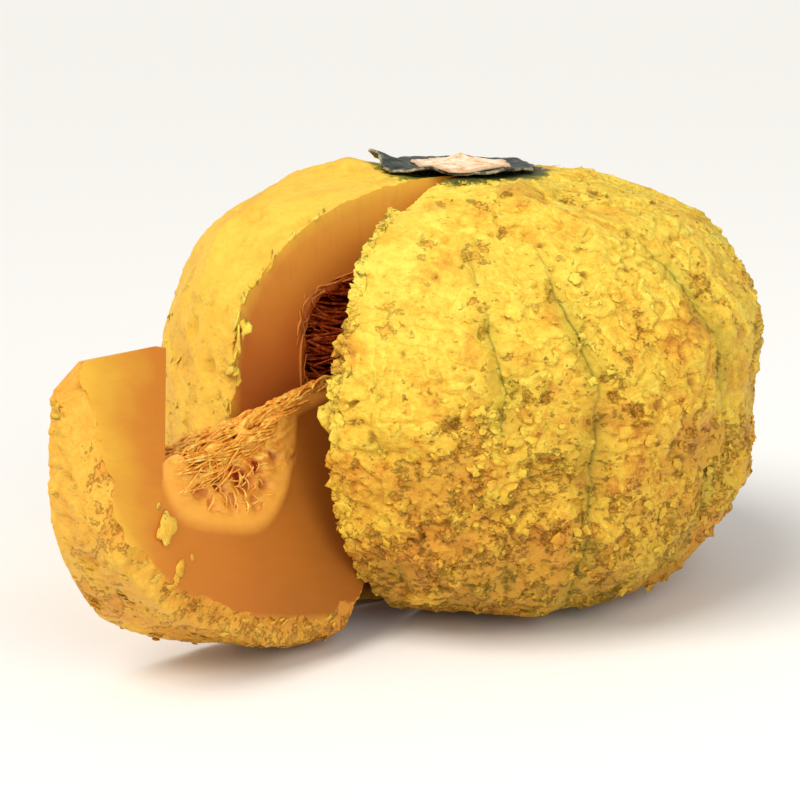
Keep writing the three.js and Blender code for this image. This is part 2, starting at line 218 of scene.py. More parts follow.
def lift_off_ball(points, shape, height):
    """Points on the smooth surface, moved so that they stand height over it."""
    radius, middle, top, bottom = shape
    up = points[:, 2] - middle
    half = np.where(up >= 0, top[0], bottom[0])
    power = np.where(up >= 0, top[1], bottom[1])
    across = np.maximum(np.hypot(points[:, 0], points[:, 1]), 1e-9)
    slope = (across / radius) ** (power - 1) / radius / across
    rise = np.abs(up / half) ** (power - 1) / half * np.sign(up)
    normal = np.stack([points[:, 0] * slope, points[:, 1] * slope, rise], axis=1)
    normal /= np.linalg.norm(normal, axis=1)[:, None]
    ray = points - np.array([0, 0, middle])
    ray /= np.linalg.norm(ray, axis=1)[:, None]
    straight = np.sum(normal * ray, axis=1)
    return points + ray * (height / straight)[:, None]


def bearing_of(points):
    """Degrees round the squash's axis, from +X towards +Y."""
    return np.degrees(np.arctan2(points[:, 1], points[:, 0]))


def torn_share(points):
    """How much of the surface was torn rather than cut clean, 0 to 1."""
    off = np.abs((bearing_of(points) - SMOOTH_LOBE[0] + 180) % 360 - 180)
    clean = 1 - clamp01((off - SMOOTH_LOBE[1]) / 12)
    rubbed = clamp01(1 - np.abs(bearing_of(points) + 66) / 34) * clamp01((points[:, 2] - 50) / 50)
    return (1 - 0.7 * clean) * (1 - 0.5 * rubbed) * (1 - 0.2 * clamp01(smooth_field(points, 55, 90)))


def crown_rise(x, y):
    """How far the crown stands over its smooth curve: shoulders, less the hollow round the stem."""
    rise = -STEM_DIP[0] * np.exp(-(x * x + y * y) / STEM_DIP[1] ** 2)
    for bearing, radius, spread, height in SHOULDERS:
        dx = x - radius * math.cos(math.radians(bearing))
        dy = y - radius * math.sin(math.radians(bearing))
        rise = rise + height * np.exp(-(dx * dx + dy * dy) / spread**2)
    return rise


def seam(points):
    """Signed distance in mm from the nearest seam of the squash, and how open the seam is there."""
    x, y, z = points.T
    across = np.hypot(x, y)
    wobble = 3 * smooth_field(points, 26, 421) + 0.8 * smooth_field(points, 5, 422)
    bearing = bearing_of(points) + wobble + 10 * clamp01((z - 80) / 35)
    nearest = np.full(len(points), 1e3)
    opened = np.zeros(len(points))
    for number, (rib, depth) in enumerate(SEAMS):
        off = np.radians((bearing - rib + 180) % 360 - 180) * across
        along = np.stack([z, 0 * z + 50 * number, 0 * z], axis=1)  # its own row of the field
        closer = np.abs(off) < np.abs(nearest)
        nearest = np.where(closer, off, nearest)
        part_way = 1.8 * smooth_field(along, 19, 423) + 0.9 * smooth_field(along, 5, 424)
        opened = np.where(closer, clamp01(part_way + depth), opened)
    return nearest, opened * torn_share(points) * clamp01((z - 6) / 10) * clamp01((116 - z) / 12)


def ragged_steps(phase, riser=0.08):
    """Overlapping torn layers: each one starts with a cliff and slopes down to the next."""
    part = phase - np.floor(phase)
    return np.where(part < riser, ease(part / riser), 1 - (part - riser) / (1 - riser))


def collar(points):
    """1 beside the disc of rind, where green was left on, falling to 0 at a ragged edge."""
    x, y, z = points.T
    across = np.hypot(x, y)
    towards = np.maximum(0, np.cos(np.radians(bearing_of(points) - GREEN_SIDE)))
    width = 1.5 + 8 * towards**1.5
    width = width + 3.5 * smooth_field(points, 7, 431) + 1.4 * smooth_field(points, 2.5, 432)
    ring = clamp01(1 - (across - CAP_RADIUS + 1) / np.maximum(width, 1.0))
    return np.where(z > EQUATOR_Z, ring * clamp01(torn_share(points) * 1.6), 0)


def pared_surface(points):
    """Everything about the pared surface at points on the smooth squash, by name."""
    x, y, z = points.T
    across = np.hypot(x, y)
    high = z > EQUATOR_Z
    near_cap = np.where(high, 1 - clamp01((across - CAP_RADIUS) / 5), 0)
    fade = ease(clamp01(z / BASE_FADE)) * (1 - near_cap)
    rough = torn_share(points)

    coarse = np.stack([smooth_field(points, 6, salt) for salt in (201, 202, 203)], axis=1)
    fine = np.stack([smooth_field(points, 2.1, salt) for salt in (204, 205, 206)], axis=1)
    bent = points + 2.4 * coarse + 0.9 * fine
    level, crack, _, _ = torn_field(bent, 11, 11)
    _, _, _, seed = torn_field(points, 30, 441)
    facets = (seed * 30) ** 2 / 170 - 0.9
    broad = 1.0 * smooth_field(points, 36, 31)
    hollows = (1 - rough) * 1.5 * smooth_field(points, 15, 51)
    strokes = -0.5 * np.abs(np.sin(12 * np.arctan2(y, x)))

    drift = z / 12 + np.radians(bearing_of(points)) * across / 40
    layer = 2.1 * smooth_field(bent, 16, 401) + 1.0 * smooth_field(bent, 7, 402) + drift
    layer = layer + 0.35 * smooth_field(points, 3.2, 403)
    flake = 1.5 * smooth_field(bent, 6, 411) + 0.8 * smooth_field(points, 2.6, 412) + z / 7
    torn = 0.6 * level - 0.3 * crack + 0.9 * (ragged_steps(layer) - 0.5)
    torn = torn + 0.35 * (ragged_steps(flake, 0.12) - 0.5) + 0.22 * smooth_field(points, 1.5, 413)
    torn = torn + 0.4 * smooth_field(bent, 4.2, 414)
    _, _, _, pit = torn_field(bent, 13, 231)
    pits = 2.0 * clamp01(1 - (pit / 0.13) ** 2)
    drawn_out = points * np.array([1, 1, 0.6]) + 0.5 * coarse
    _, _, _, dent = torn_field(drawn_out, 13, 241)
    dents = (1 - rough) * clamp01(1 - (dent / 0.26) ** 2) ** 1.5
    upright = bent * np.array([1, 1, 0.75])
    isle = 0.75 * smooth_field(upright, 10, 501) + 0.65 * smooth_field(upright, 4.6, 502)
    isle = isle + 0.4 * smooth_field(points, 2.3, 503) + 1.1 * clamp01((z - 20) / 95) - 0.14
    plates = 1.3 * ease(clamp01(isle / 0.3 + 0.5)) - 0.65
    rib, opened = seam(points)
    groove = 0.8 * opened * np.exp(-((rib / 0.9) ** 2)) + 1.3 * opened * np.exp(-((rib / 4.5) ** 2))
    ring = collar(points)
    relief = rough * (torn + plates - pits) + hollows + facets - groove + broad + strokes - 3.0 * dents
    behind = np.maximum(0, -np.cos(np.radians(bearing_of(points) - GREEN_SIDE)))
    behind = np.where(high, behind * clamp01((52 - across) / 12), 0)  # pared closer past the disc
    relief = relief * (1 - 0.8 * behind) - 1.1 * behind
    height = fade * relief - 1.1 * ease(clamp01(ring * 2.5)) * (1 - near_cap)
    bearing, spread, middle_z, spread_z, swell = BULGE
    off_bulge = ((bearing_of(points) - bearing) / spread) ** 2 + ((z - middle_z) / spread_z) ** 2
    bulge = swell * np.exp(-off_bulge)
    return {
        "height": bulge + height + np.where(high, crown_rise(x, y), 0),
        "layer": layer,
        "flake": flake,
        "plate": isle,
        "rib": rib,
        "opened": opened,
        "torn": rough,
        "pit": np.maximum(clamp01(pits) * rough, 0.5 * dents),
        "collar": ring,
    }


# ---- Mesh help ----------------------------------------------------------------------------------


def points_of(mesh):
    """The mesh's points in mm, one row each."""
    flat = np.empty(len(mesh.vertices) * 3)
    mesh.vertices.foreach_get("co", flat)
    return flat.reshape(-1, 3) / MM


def set_points(mesh, points):
    mesh.vertices.foreach_set("co", (points * MM).ravel())
    mesh.update()


def new_piece(name, bm, materials=()):
    """A piece from a bmesh, which is used up."""
    mesh = bpy.data.meshes.new(name)
    bm.to_mesh(mesh)
    bm.free()
    return piece_of(name, mesh, materials)


def piece_of(name, mesh, materials=()):
    """An object at the origin with this mesh and these finishes."""
    piece = bpy.data.objects.new(name, mesh)
    bpy.context.scene.collection.objects.link(piece)
    for material in materials:
        mesh.materials.append(material)
    return piece


def settle(piece):
    """Applies the piece's modifiers to its mesh."""
    graph = bpy.context.evaluated_depsgraph_get()
    settled = bpy.data.meshes.new_from_object(piece.evaluated_get(graph))
    piece.modifiers.clear()
    piece.data = settled
    return piece


def combine(piece, tool, operation):
    """Joins, cuts or keeps what is shared with the tool, which is then removed."""
    modifier = piece.modifiers.new("combine", "BOOLEAN")
    modifier.operation = operation
    modifier.solver = "MANIFOLD"
    modifier.object = tool
    settle(piece)
    bpy.data.objects.remove(tool)
    return piece


def thin_out(piece, faces):
    """Fewer triangles where the surface is flat, down to about the given number."""
    piece.data.calc_loop_triangles()
    count = len(piece.data.loop_triangles)
    if count > faces:
        modifier = piece.modifiers.new("thin", "DECIMATE")
        modifier.ratio = faces / count
        settle(piece)
    return piece


def face_corners(mesh):
    """The vertex numbers of a mesh of triangles, one row a face."""
    corners = np.empty(len(mesh.loops), dtype=np.int64)
    mesh.loops.foreach_get("vertex_index", corners)
    return corners.reshape(-1, 3)


def triangulate(piece):
    """Drops faces without area, and splits the rest into triangles."""
    bm = bmesh.new()
    bm.from_mesh(piece.data)
    bmesh.ops.dissolve_degenerate(bm, dist=1e-7, edges=bm.edges)
    bmesh.ops.triangulate(bm, faces=bm.faces)
    bm.to_mesh(piece.data)
    bm.free()


def break_up(piece):
    """Splits the long triangles of the flat cuts, so that what is stored at corners holds all over."""
    bm = bmesh.new()
    bm.from_mesh(piece.data)
    for _ in range(6):
        too_long = [edge for edge in bm.edges if edge.calc_length() > LONGEST_EDGE * MM]
        if not too_long:
            break
        bmesh.ops.subdivide_edges(bm, edges=too_long, cuts=1)
        bmesh.ops.triangulate(bm, faces=[face for face in bm.faces if len(face.verts) > 3])
    bm.to_mesh(piece.data)
    bm.free()


def smooth_but_for_cuts(piece):
    """Smooth shading, with a sharp edge where a knife cut meets the skin."""
    mesh = piece.data
    mesh.shade_smooth()
    bm = bmesh.new()
    bm.from_mesh(mesh)
    for edge in bm.edges:
        slots = {face.material_index for face in edge.link_faces}
        edge.smooth = len(slots) == 1 and edge.calc_face_angle(0) < math.radians(65)
    bm.to_mesh(mesh)
    bm.free()


def store(mesh, name, values):
    """Keeps a value or a vector at each corner, for the materials to read."""
    kind = "FLOAT_VECTOR" if values.ndim == 2 else "FLOAT"
    key = "vector" if values.ndim == 2 else "value"
    attribute = mesh.attributes.new(name, kind, "POINT")
    attribute.data.foreach_set(key, values.astype(np.float32).ravel())


def fine_ball(subdivisions, shape):
    """A closed ball of even triangles on the smooth surface of a shape."""
    bm = bmesh.new()
    bmesh.ops.create_icosphere(bm, subdivisions=subdivisions, radius=1.0)
    piece = new_piece("ball", bm)
    radius, middle, top, bottom = shape
    unit = points_of(piece.data) * MM
    half = np.where(unit[:, 2] >= 0, top[0], bottom[0])
    stretched = unit * np.stack([np.full(len(unit), radius)] * 2 + [half], axis=1)
    set_points(piece.data, on_ball(stretched + np.array([0, 0, middle]), shape))
    return piece


def prism(name, outline, reach):
    """A solid drawn out from a flat outline of points, by a distance along each axis, all in mm."""
    bm = bmesh.new()
    foot = bm.faces.new([bm.verts.new([part * MM for part in corner]) for corner in outline])
    raised = bmesh.ops.extrude_face_region(bm, geom=[foot])["geom"]
    tops = [part for part in raised if isinstance(part, bmesh.types.BMVert)]
    bmesh.ops.translate(bm, verts=tops, vec=[part * MM for part in reach])
    bmesh.ops.recalc_face_normals(bm, faces=bm.faces)
    return new_piece(name, bm)


def between_cuts(half_angle):
    """The space between two upright knife cuts that meet at the notch's edge."""
    length = 2 * BODY_RADIUS
    spread = length * math.tan(math.radians(half_angle))
    x, y = NOTCH_EDGE
    foot = -20
    outline = [(x, y, foot), (x - spread, y - length, foot), (x + spread, y - length, foot)]
    return prism("between_cuts", outline, (0, 0, 2 * BODY_RADIUS))


def trim(piece, where, keep):
    """Cuts the piece at a plane and keeps the side that keep points to, closed again."""
    bm = bmesh.new()
    bm.from_mesh(piece.data)
    cut = bmesh.ops.bisect_plane(
        bm,
        geom=bm.verts[:] + bm.edges[:] + bm.faces[:],
        dist=1e-6,
        plane_co=[part * MM for part in where],
        plane_no=keep,
        clear_inner=True,
    )["geom_cut"]
    rim = [part for part in cut if isinstance(part, bmesh.types.BMEdge)]
    filled = bmesh.ops.holes_fill(bm, edges=rim, sides=0)["faces"]
    bmesh.ops.triangulate(bm, faces=filled)
    bm.to_mesh(piece.data)
    bm.free()
    return piece


def spun(name, profile, steps, materials):
    """A closed profile of (out, up) points, turned about the squash's axis."""
    bm = bmesh.new()
    verts = [bm.verts.new((out * MM, 0, up * MM)) for out, up in profile]
    edges = [bm.edges.new(pair) for pair in zip(verts, verts[1:])]
    bmesh.ops.spin(
        bm,
        geom=verts + edges,
        cent=(0, 0, 0),
        axis=(0, 0, 1),
        angle=2 * math.pi,
        steps=steps,
        use_merge=True,
    )
    bmesh.ops.remove_doubles(bm, verts=bm.verts, dist=1e-6)
    bmesh.ops.recalc_face_normals(bm, faces=bm.faces)
    return new_piece(name, bm, materials)


# ---- Materials ----------------------------------------------------------------------------------


def hue(code):
    """An sRGB hex colour as linear RGBA."""
    parts = [int(code[n : n + 2], 16) / 255 for n in (1, 3, 5)]
    linear = [part / 12.92 if part <= 0.04045 else ((part + 0.055) / 1.055) ** 2.4 for part in parts]
    return (*linear, 1.0)


def add(tree, kind, *inputs, give=0, stops=(), **settings):
    """Adds a node with its settings and links, and hands on one of its outputs, if it has any. Inputs
    are values or other nodes' outputs, either in order or as one dict by name."""
    node = tree.nodes.new("ShaderNode" + kind)
    for name, value in settings.items():
        setattr(node, name, value)
    named = inputs[0] if inputs and isinstance(inputs[0], dict) else dict(enumerate(inputs))
    for socket, value in named.items():
        if isinstance(value, bpy.types.NodeSocket):
            tree.links.new(value, node.inputs[socket])
        else:
            node.inputs[socket].default_value = value
    if stops:
        ramp = node.color_ramp.elements
        while len(ramp) < len(stops):
            ramp.new(0.5)
        for element, (position, code) in zip(ramp, stops):
            element.position = position
            element.color = hue(code)
    return node.outputs[give] if node.outputs else None


def new_material(name):
    material = bpy.data.materials.new(name)
    material.use_nodes = True
    tree = material.node_tree
    tree.nodes.clear()
    return material, tree


def finish(tree, shader):
    """Gives the surface its shader; its inputs are named as Blender names them."""
    surface = add(tree, "BsdfPrincipled", shader)
    add(tree, "OutputMaterial", {"Surface": surface})


def pared_flesh():
    """Raw winter squash flesh where the rind was pared off. Torn layers overlap, so it is bright
    yellow along each torn edge and orange further under the next layer. The brown at the foot of each
    layer, the darker brown deep in its gaps, the brown in its pits and the darkening low down are
    painted shade. It is damp, so it has small soft glints, and light goes a little way into it."""
    material, tree = new_material("torn_squash_flesh")
    place = add(tree, "Attribute", give="Vector", attribute_name="grown")
    names = ("torn", "layer", "flake", "plate", "rib", "opened", "pit", "collar", "green", "near_cut")
    torn, layer, flake, plate, rib, opened, pit, collar_share, green, near_cut = (
        add(tree, "Attribute", give="Fac", attribute_name=name) for name in names
    )
    height = add(tree, "SeparateXYZ", place, give="Z")

    # Cells about 1.2 mm across, and level shreds about 3 mm long that frayed off in steps.
    grain = add(tree, "TexNoise", {"Vector": place, "Scale": PER_MM / 1.2, "Detail": 5, "Roughness": 0.7})
    level = add(tree, "Mapping", {"Vector": place, "Scale": (1, 1, 1.5)})
    shreds = add(tree, "TexNoise", {"Vector": level, "Scale": PER_MM / 3, "Detail": 5, "Roughness": 0.66})

    # Each layer's step, with the grain in its edge.
    fray = add(tree, "Math", grain, 0.3, -0.15, operation="MULTIPLY_ADD")
    layer = add(tree, "Math", add(tree, "Math", layer, fray), operation="FRACT")
    flake = add(tree, "Math", add(tree, "Math", flake, fray), operation="FRACT")
    under = add(tree, "Math", flake, 0.14, operation="MULTIPLY")
    under = add(tree, "Math", layer, 0.2, under, operation="MULTIPLY_ADD")
    under = add(tree, "Math", under, torn, operation="MULTIPLY")

    # Riper, more orange patches about 16 mm across, and painted shade that darkens the flesh towards the
    # bottom.
    patches = add(tree, "TexNoise", {"Vector": place, "Scale": PER_MM / 16, "Detail": 4, "Roughness": 0.6})
    riper = add(tree, "MapRange", patches, 0.47, 0.66, 0, 0.34)
    low_shade = add(tree, "MapRange", height, 0.11, 0.0, -0.05, 0.32)
    shade = add(tree, "Math", grain, 0.5, -0.22, operation="MULTIPLY_ADD")
    shade = add(tree, "Math", shreds, 0.7, add(tree, "Math", shade, -0.33), operation="MULTIPLY_ADD")
    for part in (under, riper, low_shade):
        shade = add(tree, "Math", shade, part)
    flesh = add(
        tree,
        "ValToRGB",
        shade,
        stops=[(0.0, "#f8de58"), (0.2, "#f1ca42"), (0.42, "#e7b230"), (0.66, "#d79124"), (1.0, "#a46310")],
    )

    # Plates that stayed on, with frayed edges, and softer, more orange flesh bared between them, which
    # is in shadow along their edges.
    ragged = add(tree, "Math", shreds, 2.6, plate, operation="MULTIPLY_ADD")
    ragged = add(tree, "Math", grain, 1.0, ragged, operation="MULTIPLY_ADD")
    bare = add(tree, "MapRange", torn, 0.25, 0.75, 0.35, 1.0)
    recess = add(tree, "Math", add(tree, "MapRange", ragged, 1.9, 1.68), bare, operation="MULTIPLY")
    shaded = add(tree, "Math", add(tree, "MapRange", ragged, 1.3, 1.78), recess, operation="MULTIPLY")
    shaded = add(tree, "Math", shaded, add(tree, "MapRange", grain, 0.4, 0.6), operation="MULTIPLY")
    lower = add(tree, "MapRange", height, 0.115, 0.075, 0.2, 1.0)
    shaded = add(tree, "Math", shaded, lower, operation="MULTIPLY")

    # Small brown gaps about 6 mm apart, ragged and sunken, more of them low down; the darker brown deep in
    # them is painted shade.
    holes = add(tree, "TexNoise", {"Vector": level, "Scale": PER_MM / 6, "Detail": 7, "Roughness": 0.72})
    holes = add(tree, "Math", holes, add(tree, "MapRange", height, 0.12, 0.01, -0.07, 0.02))
    holes = add(tree, "Math", holes, add(tree, "MapRange", torn, 0.2, 1.0, -0.08, 0.0))
    gap = add(tree, "MapRange", holes, 0.57, 0.64)
    deep_gap = add(tree, "MapRange", holes, 0.63, 0.74)
    nicks = add(tree, "Math", holes, 0.4, shreds, operation="MULTIPLY_ADD")
    nicks = add(tree, "MapRange", nicks, 0.81, 0.89, 0, 0.5)
    nicks = add(tree, "Math", nicks, torn, operation="MULTIPLY")
    # Painted shade: brown in the crevice at the foot of each torn layer.
    foot = add(tree, "Math", add(tree, "MapRange", layer, 0.86, 1.0), torn, operation="MULTIPLY")

    # Where green was left, round the stem and along the seams. The olive low down and towards one side,
    # partly painted shade, is among the tints below.
    fringe = add(tree, "Math", shreds, 1.3, -0.65, operation="MULTIPLY_ADD")
    collar_share = add(tree, "Math", collar_share, fringe)
    rib = add(tree, "Math", rib, operation="ABSOLUTE")
    rib = add(tree, "Math", grain, 0.5, rib, operation="MULTIPLY_ADD")
    line = add(tree, "Math", add(tree, "MapRange", rib, 0.3, 0.9, 0.65, 0), opened, operation="MULTIPLY")
    tint = add(tree, "Math", add(tree, "MapRange", rib, 0.6, 6.5, 0.5, 0), opened, operation="MULTIPLY")
    for share, code in (
        (add(tree, "MapRange", torn, 0.62, 0.3, 0, 0.62), "#efb435"),
        (add(tree, "Math", foot, 0.15, operation="MULTIPLY"), "#8a560e"),
        (add(tree, "Math", recess, 0.62, operation="MULTIPLY"), "#d8942a"),
        (add(tree, "Math", shaded, 0.3, operation="MULTIPLY"), "#98600f"),
        (add(tree, "Math", gap, 0.5, operation="MULTIPLY"), "#a86f16"),
        (add(tree, "Math", deep_gap, 0.6, operation="MULTIPLY"), "#74500f"),
        (nicks, "#8a5d14"),
        # Painted shade: brown in the pits and dents.
        (add(tree, "Math", pit, 0.6, operation="MULTIPLY"), "#94621a"),
        (add(tree, "Math", near_cut, 0.7, operation="MULTIPLY"), "#e89c30"),
        # Olive, partly painted shade low down and on one side.
        (add(tree, "Math", green, 0.7, operation="MULTIPLY"), "#9a9424"),
        (add(tree, "MapRange", collar_share, 0.2, 0.4), "#8b8423"),
        (add(tree, "MapRange", collar_share, 0.55, 0.9), "#454818"),
        (tint, "#a89a26"),
        (line, "#6b631a"),
    ):
        flesh = add(tree, "Mix", {0: share, 6: flesh, 7: hue(code)}, give=2, data_type="RGBA")

    relief = add(tree, "Math", grain, 0.45, shreds, operation="MULTIPLY_ADD")
    for share, drop in ((recess, -0.8), (gap, -0.3), (deep_gap, -0.4), (nicks, -0.3)):
        relief = add(tree, "Math", share, drop, relief, operation="MULTIPLY_ADD")
    strength = add(tree, "MapRange", torn, 0.2, 1.0, 0.55, 1.0)
    bump = add(tree, "Bump", {"Height": relief, "Distance": 1.0 * MM, "Strength": strength})
    wet = add(tree, "MapRange", patches, 0.35, 0.65, 0.66, 0.42)
    finish(
        tree,
        {
            "Base Color": flesh,
            "Normal": bump,
            "Roughness": wet,
            "IOR": 1.4,
            "Subsurface Weight": 0.12,
            "Subsurface Radius": (1.0, 0.5, 0.12),
            "Subsurface Scale": 1.2 * MM,
        },
    )
    return material


def knife_face(tree, place):
    """Colour of the wedge's cut flesh: yellow by the stem, darker and browner orange down to the base,
    which is painted shade.
    """
    height = add(tree, "SeparateXYZ", place, give="Z")
    cloud = add(tree, "TexNoise", {"Vector": place, "Scale": PER_MM / 14, "Detail": 3, "Roughness": 0.5})
    cloud = add(tree, "Math", cloud, 0.02, -0.01, operation="MULTIPLY_ADD")
    height = add(tree, "Math", height, cloud)
    share = add(tree, "MapRange", height, 0.0, 0.128)
    # Painted shade: the ramp darkens and browns towards the base.
    stops = [(0.1, "#96541a"), (0.35, "#a4611c"), (0.6, "#c07021"), (0.78, "#d08027"), (0.95, "#efb93b")]
    return add(tree, "ValToRGB", share, stops=stops)


def cut_flesh():
    """Raw squash flesh under a knife cut: smooth, dense and wet, yellow just under the skin, with
    faint drag lines from the blade. Painted shade darkens it lower down, and on the squash's own cut
    faces also reddens it towards the seed cavity."""
    material, tree = new_material("knife_cut_squash_flesh")
    place = add(tree, "Attribute", give="Vector", attribute_name="grown")
    depth = add(tree, "Attribute", give="Fac", attribute_name="depth")
    notch_shade = add(tree, "Attribute", give="Fac", attribute_name="notch_shade")
    height = add(tree, "SeparateXYZ", place, give="Z")
    bright = knife_face(tree, place)
    # Painted shade for the squash's own cut faces: darker and browner lower down in the notch.
    share = add(tree, "MapRange", height, 0.02, 0.124)
    deep = add(
        tree,
        "ValToRGB",
        share,
        stops=[(0.0, "#8f481a"), (0.35, "#a65820"), (0.6, "#c8742a"), (0.85, "#e39a3a"), (1.0, "#f0b646")],
    )
    flesh = add(tree, "Mix", {0: notch_shade, 6: bright, 7: deep}, give=2, data_type="RGBA")
    # Painted shade: redder towards the seed cavity on the squash's own cut faces.
    inner = add(tree, "MapRange", depth, 0.45, 1.05, 0, 0.6)
    inner = add(tree, "Math", inner, notch_shade, operation="MULTIPLY")
    flesh = add(tree, "Mix", {0: inner, 6: flesh, 7: hue("#a8471a")}, give=2, data_type="RGBA")
    rim = add(tree, "MapRange", depth, 0.16, 0.0, 0, 0.75)
    flesh = add(tree, "Mix", {0: rim, 6: flesh, 7: hue("#f6c646")}, give=2, data_type="RGBA")
    drawn = add(tree, "Mapping", {"Vector": place, "Scale": (1, 1, 0.3)})
    drag = add(tree, "TexNoise", {"Vector": drawn, "Scale": PER_MM / 2, "Detail": 4, "Roughness": 0.6})
    lines = add(tree, "MapRange", drag, 0.5, 0.75, 0, 0.16)
    flesh = add(tree, "Mix", {0: lines, 6: flesh, 7: hue("#b8661e")}, give=2, data_type="RGBA")
    bump = add(tree, "Bump", {"Height": drag, "Distance": 0.15 * MM, "Strength": 0.4})
    wet = add(tree, "MapRange", drag, 0.3, 0.7, 0.36, 0.5)
    finish(
        tree,
        {
            "Base Color": flesh,
            "Normal": bump,
            "Roughness": wet,
            "IOR": 1.4,
            "Subsurface Weight": 0.15,
            "Subsurface Radius": (1.0, 0.4, 0.1),
            "Subsurface Scale": 2.5 * MM,
        },
    )
    return material


def pulp_fibre(name, codes, edge):
    """Seed cavity pulp: a mat of wet, stringy fibres, glossy and orange. It is darker red in the
    hollows where seeds were pulled out of it, which is painted shade, and takes the flesh's colour
    where it grows out of the wall: edge, or the wedge's cut-face colour with its painted shade where
    there is none."""
    material, tree = new_material(name)
    place = add(tree, "Attribute", give="Vector", attribute_name="grown")
    hollow, wall = (add(tree, "Attribute", give="Fac", attribute_name=part) for part in ("hollow", "wall"))
    drawn = add(tree, "Mapping", {"Vector": place, "Scale": (1, 1, 0.5)})
    fibres = add(tree, "TexNoise", {"Vector": drawn, "Scale": PER_MM / 1.6, "Detail": 4, "Roughness": 0.7})
    flesh = add(tree, "ValToRGB", fibres, stops=list(zip((0.3, 0.44, 0.56, 0.7), codes)))
    # Painted shade: darker red in the seed hollows.
    flesh = add(tree, "Mix", {0: hollow, 6: flesh, 7: hue("#a5300c")}, give=2, data_type="RGBA")
    grown_in = hue(edge) if edge else knife_face(tree, place)
    flesh = add(tree, "Mix", {0: wall, 6: flesh, 7: grown_in}, give=2, data_type="RGBA")
    if not edge:
        # Paler, softer flesh in a band where the fibres begin.
        inner, outer = add(tree, "MapRange", wall, 0.0, 0.5), add(tree, "MapRange", wall, 1.0, 0.7)
        halo = add(tree, "Math", outer, inner, operation="MULTIPLY")
        halo = add(tree, "Math", halo, 0.85, operation="MULTIPLY")
        flesh = add(tree, "Mix", {0: halo, 6: flesh, 7: hue("#f2ab42")}, give=2, data_type="RGBA")
    strength = add(tree, "MapRange", wall, 0.0, 1.0, 0.8, 0.08)
    bump = add(tree, "Bump", {"Height": fibres, "Distance": 0.5 * MM, "Strength": strength})
    finish(
        tree,
        {
            "Base Color": flesh,
            "Normal": bump,
            "Roughness": 0.42,
            "IOR": 1.4,
            "Subsurface Weight": 0.12,
            "Subsurface Radius": (1.0, 0.35, 0.08),
            "Subsurface Scale": 1.5 * MM,
        },
    )
    return material


def waxy_rind():
    """Kabocha rind: hard, waxy and slate green, with a blue-grey bloom and paler flecks; the sliced
    edge of the thin sheet is pale."""
    material, tree = new_material("waxy_rind")
    place = add(tree, "TexCoord", give="Object")
    sliced, below = (
        add(tree, "Attribute", give="Fac", attribute_name=part) for part in ("sliced", "below")
    )
    flecks = add(tree, "TexNoise", {"Vector": place, "Scale": PER_MM / 3, "Detail": 5, "Roughness": 0.7})
    stops = [(0.36, "#14180f"), (0.5, "#272e1f"), (0.6, "#4c5648"), (0.7, "#969a8a")]
    skin = add(tree, "ValToRGB", flecks, stops=stops)
    patchy = add(tree, "Math", add(tree, "MapRange", flecks, 0.4, 0.6), sliced, operation="MULTIPLY")
    skin = add(tree, "Mix", {0: patchy, 6: skin, 7: hue("#cfc09a")}, give=2, data_type="RGBA")
    # The underside: olive, darkened as painted shade under the disc.
    skin = add(tree, "Mix", {0: below, 6: skin, 7: hue("#3c3d18")}, give=2, data_type="RGBA")
    bump = add(tree, "Bump", {"Height": flecks, "Distance": 0.4 * MM, "Strength": 0.8})
    finish(tree, {"Base Color": skin, "Normal": bump, "Roughness": 0.45, "IOR": 1.45})
    return material


def dry_cork():
    """The corky scar: dead, dry and matt, pale beige, browner along its edge and round its tip."""
    material, tree = new_material("dry_cork")
    place = add(tree, "TexCoord", give="Object")
    browned = add(tree, "Attribute", give="Fac", attribute_name="browned")
    grain = add(tree, "TexNoise", {"Vector": place, "Scale": PER_MM / 3.2, "Detail": 5, "Roughness": 0.7})
    stops = [(0.3, "#a8713f"), (0.4, "#e3b684"), (0.5, "#f3d8b0"), (0.66, "#fbeedb")]
    cork = add(tree, "ValToRGB", grain, stops=stops)
    cork = add(tree, "Mix", {0: browned, 6: cork, 7: hue("#a8663a")}, give=2, data_type="RGBA")
    bump = add(tree, "Bump", {"Height": grain, "Distance": 0.4 * MM, "Strength": 0.7})
    finish(tree, {"Base Color": cork, "Normal": bump, "Roughness": 0.85})
    return material


PARED = pared_flesh()
CUT = cut_flesh()
# The cavity's pulp has a darker ramp than the wedge's: painted shade for inside the cavity.
LINING = pulp_fibre("cavity_fibre", ("#7a1e0c", "#b84a1c", "#de7430", "#f0a050"), "#d98a38")
WEDGE_FIBRE = pulp_fibre("wedge_fibre", ("#bf5c18", "#ee9c34", "#f7bb4a", "#fedd78"), None)
RIND = waxy_rind()
CORK = dry_cork()


# ---- Flesh of the squash and of its wedge -------------------------------------------------------


def cavity_space(inset):
    """The space of the seed cavity, drawn in all round."""
    return fine_ball(6, cavity_ball(inset))


def off_cut(points, half_angle, side):
    """How far points lie outside one of the two knife cuts."""
    lean = math.radians(half_angle)
    dx = points[:, 0] - NOTCH_EDGE[0]
    dy = NOTCH_EDGE[1] - points[:, 1]
    return side * dx * math.cos(lean) - dy * math.sin(lean)


def off_notch(points):
    """How far points lie outside the notch, past the nearer of its two faces."""
    return np.maximum(off_cut(points, NOTCH_HALF_ANGLE, 1), off_cut(points, NOTCH_HALF_ANGLE, -1))


def above_slant(points, slant):
    """Height of points over a slanted cut."""
    z, rise = slant
    return points[:, 2] - z - rise * (NOTCH_EDGE[1] - points[:, 1])


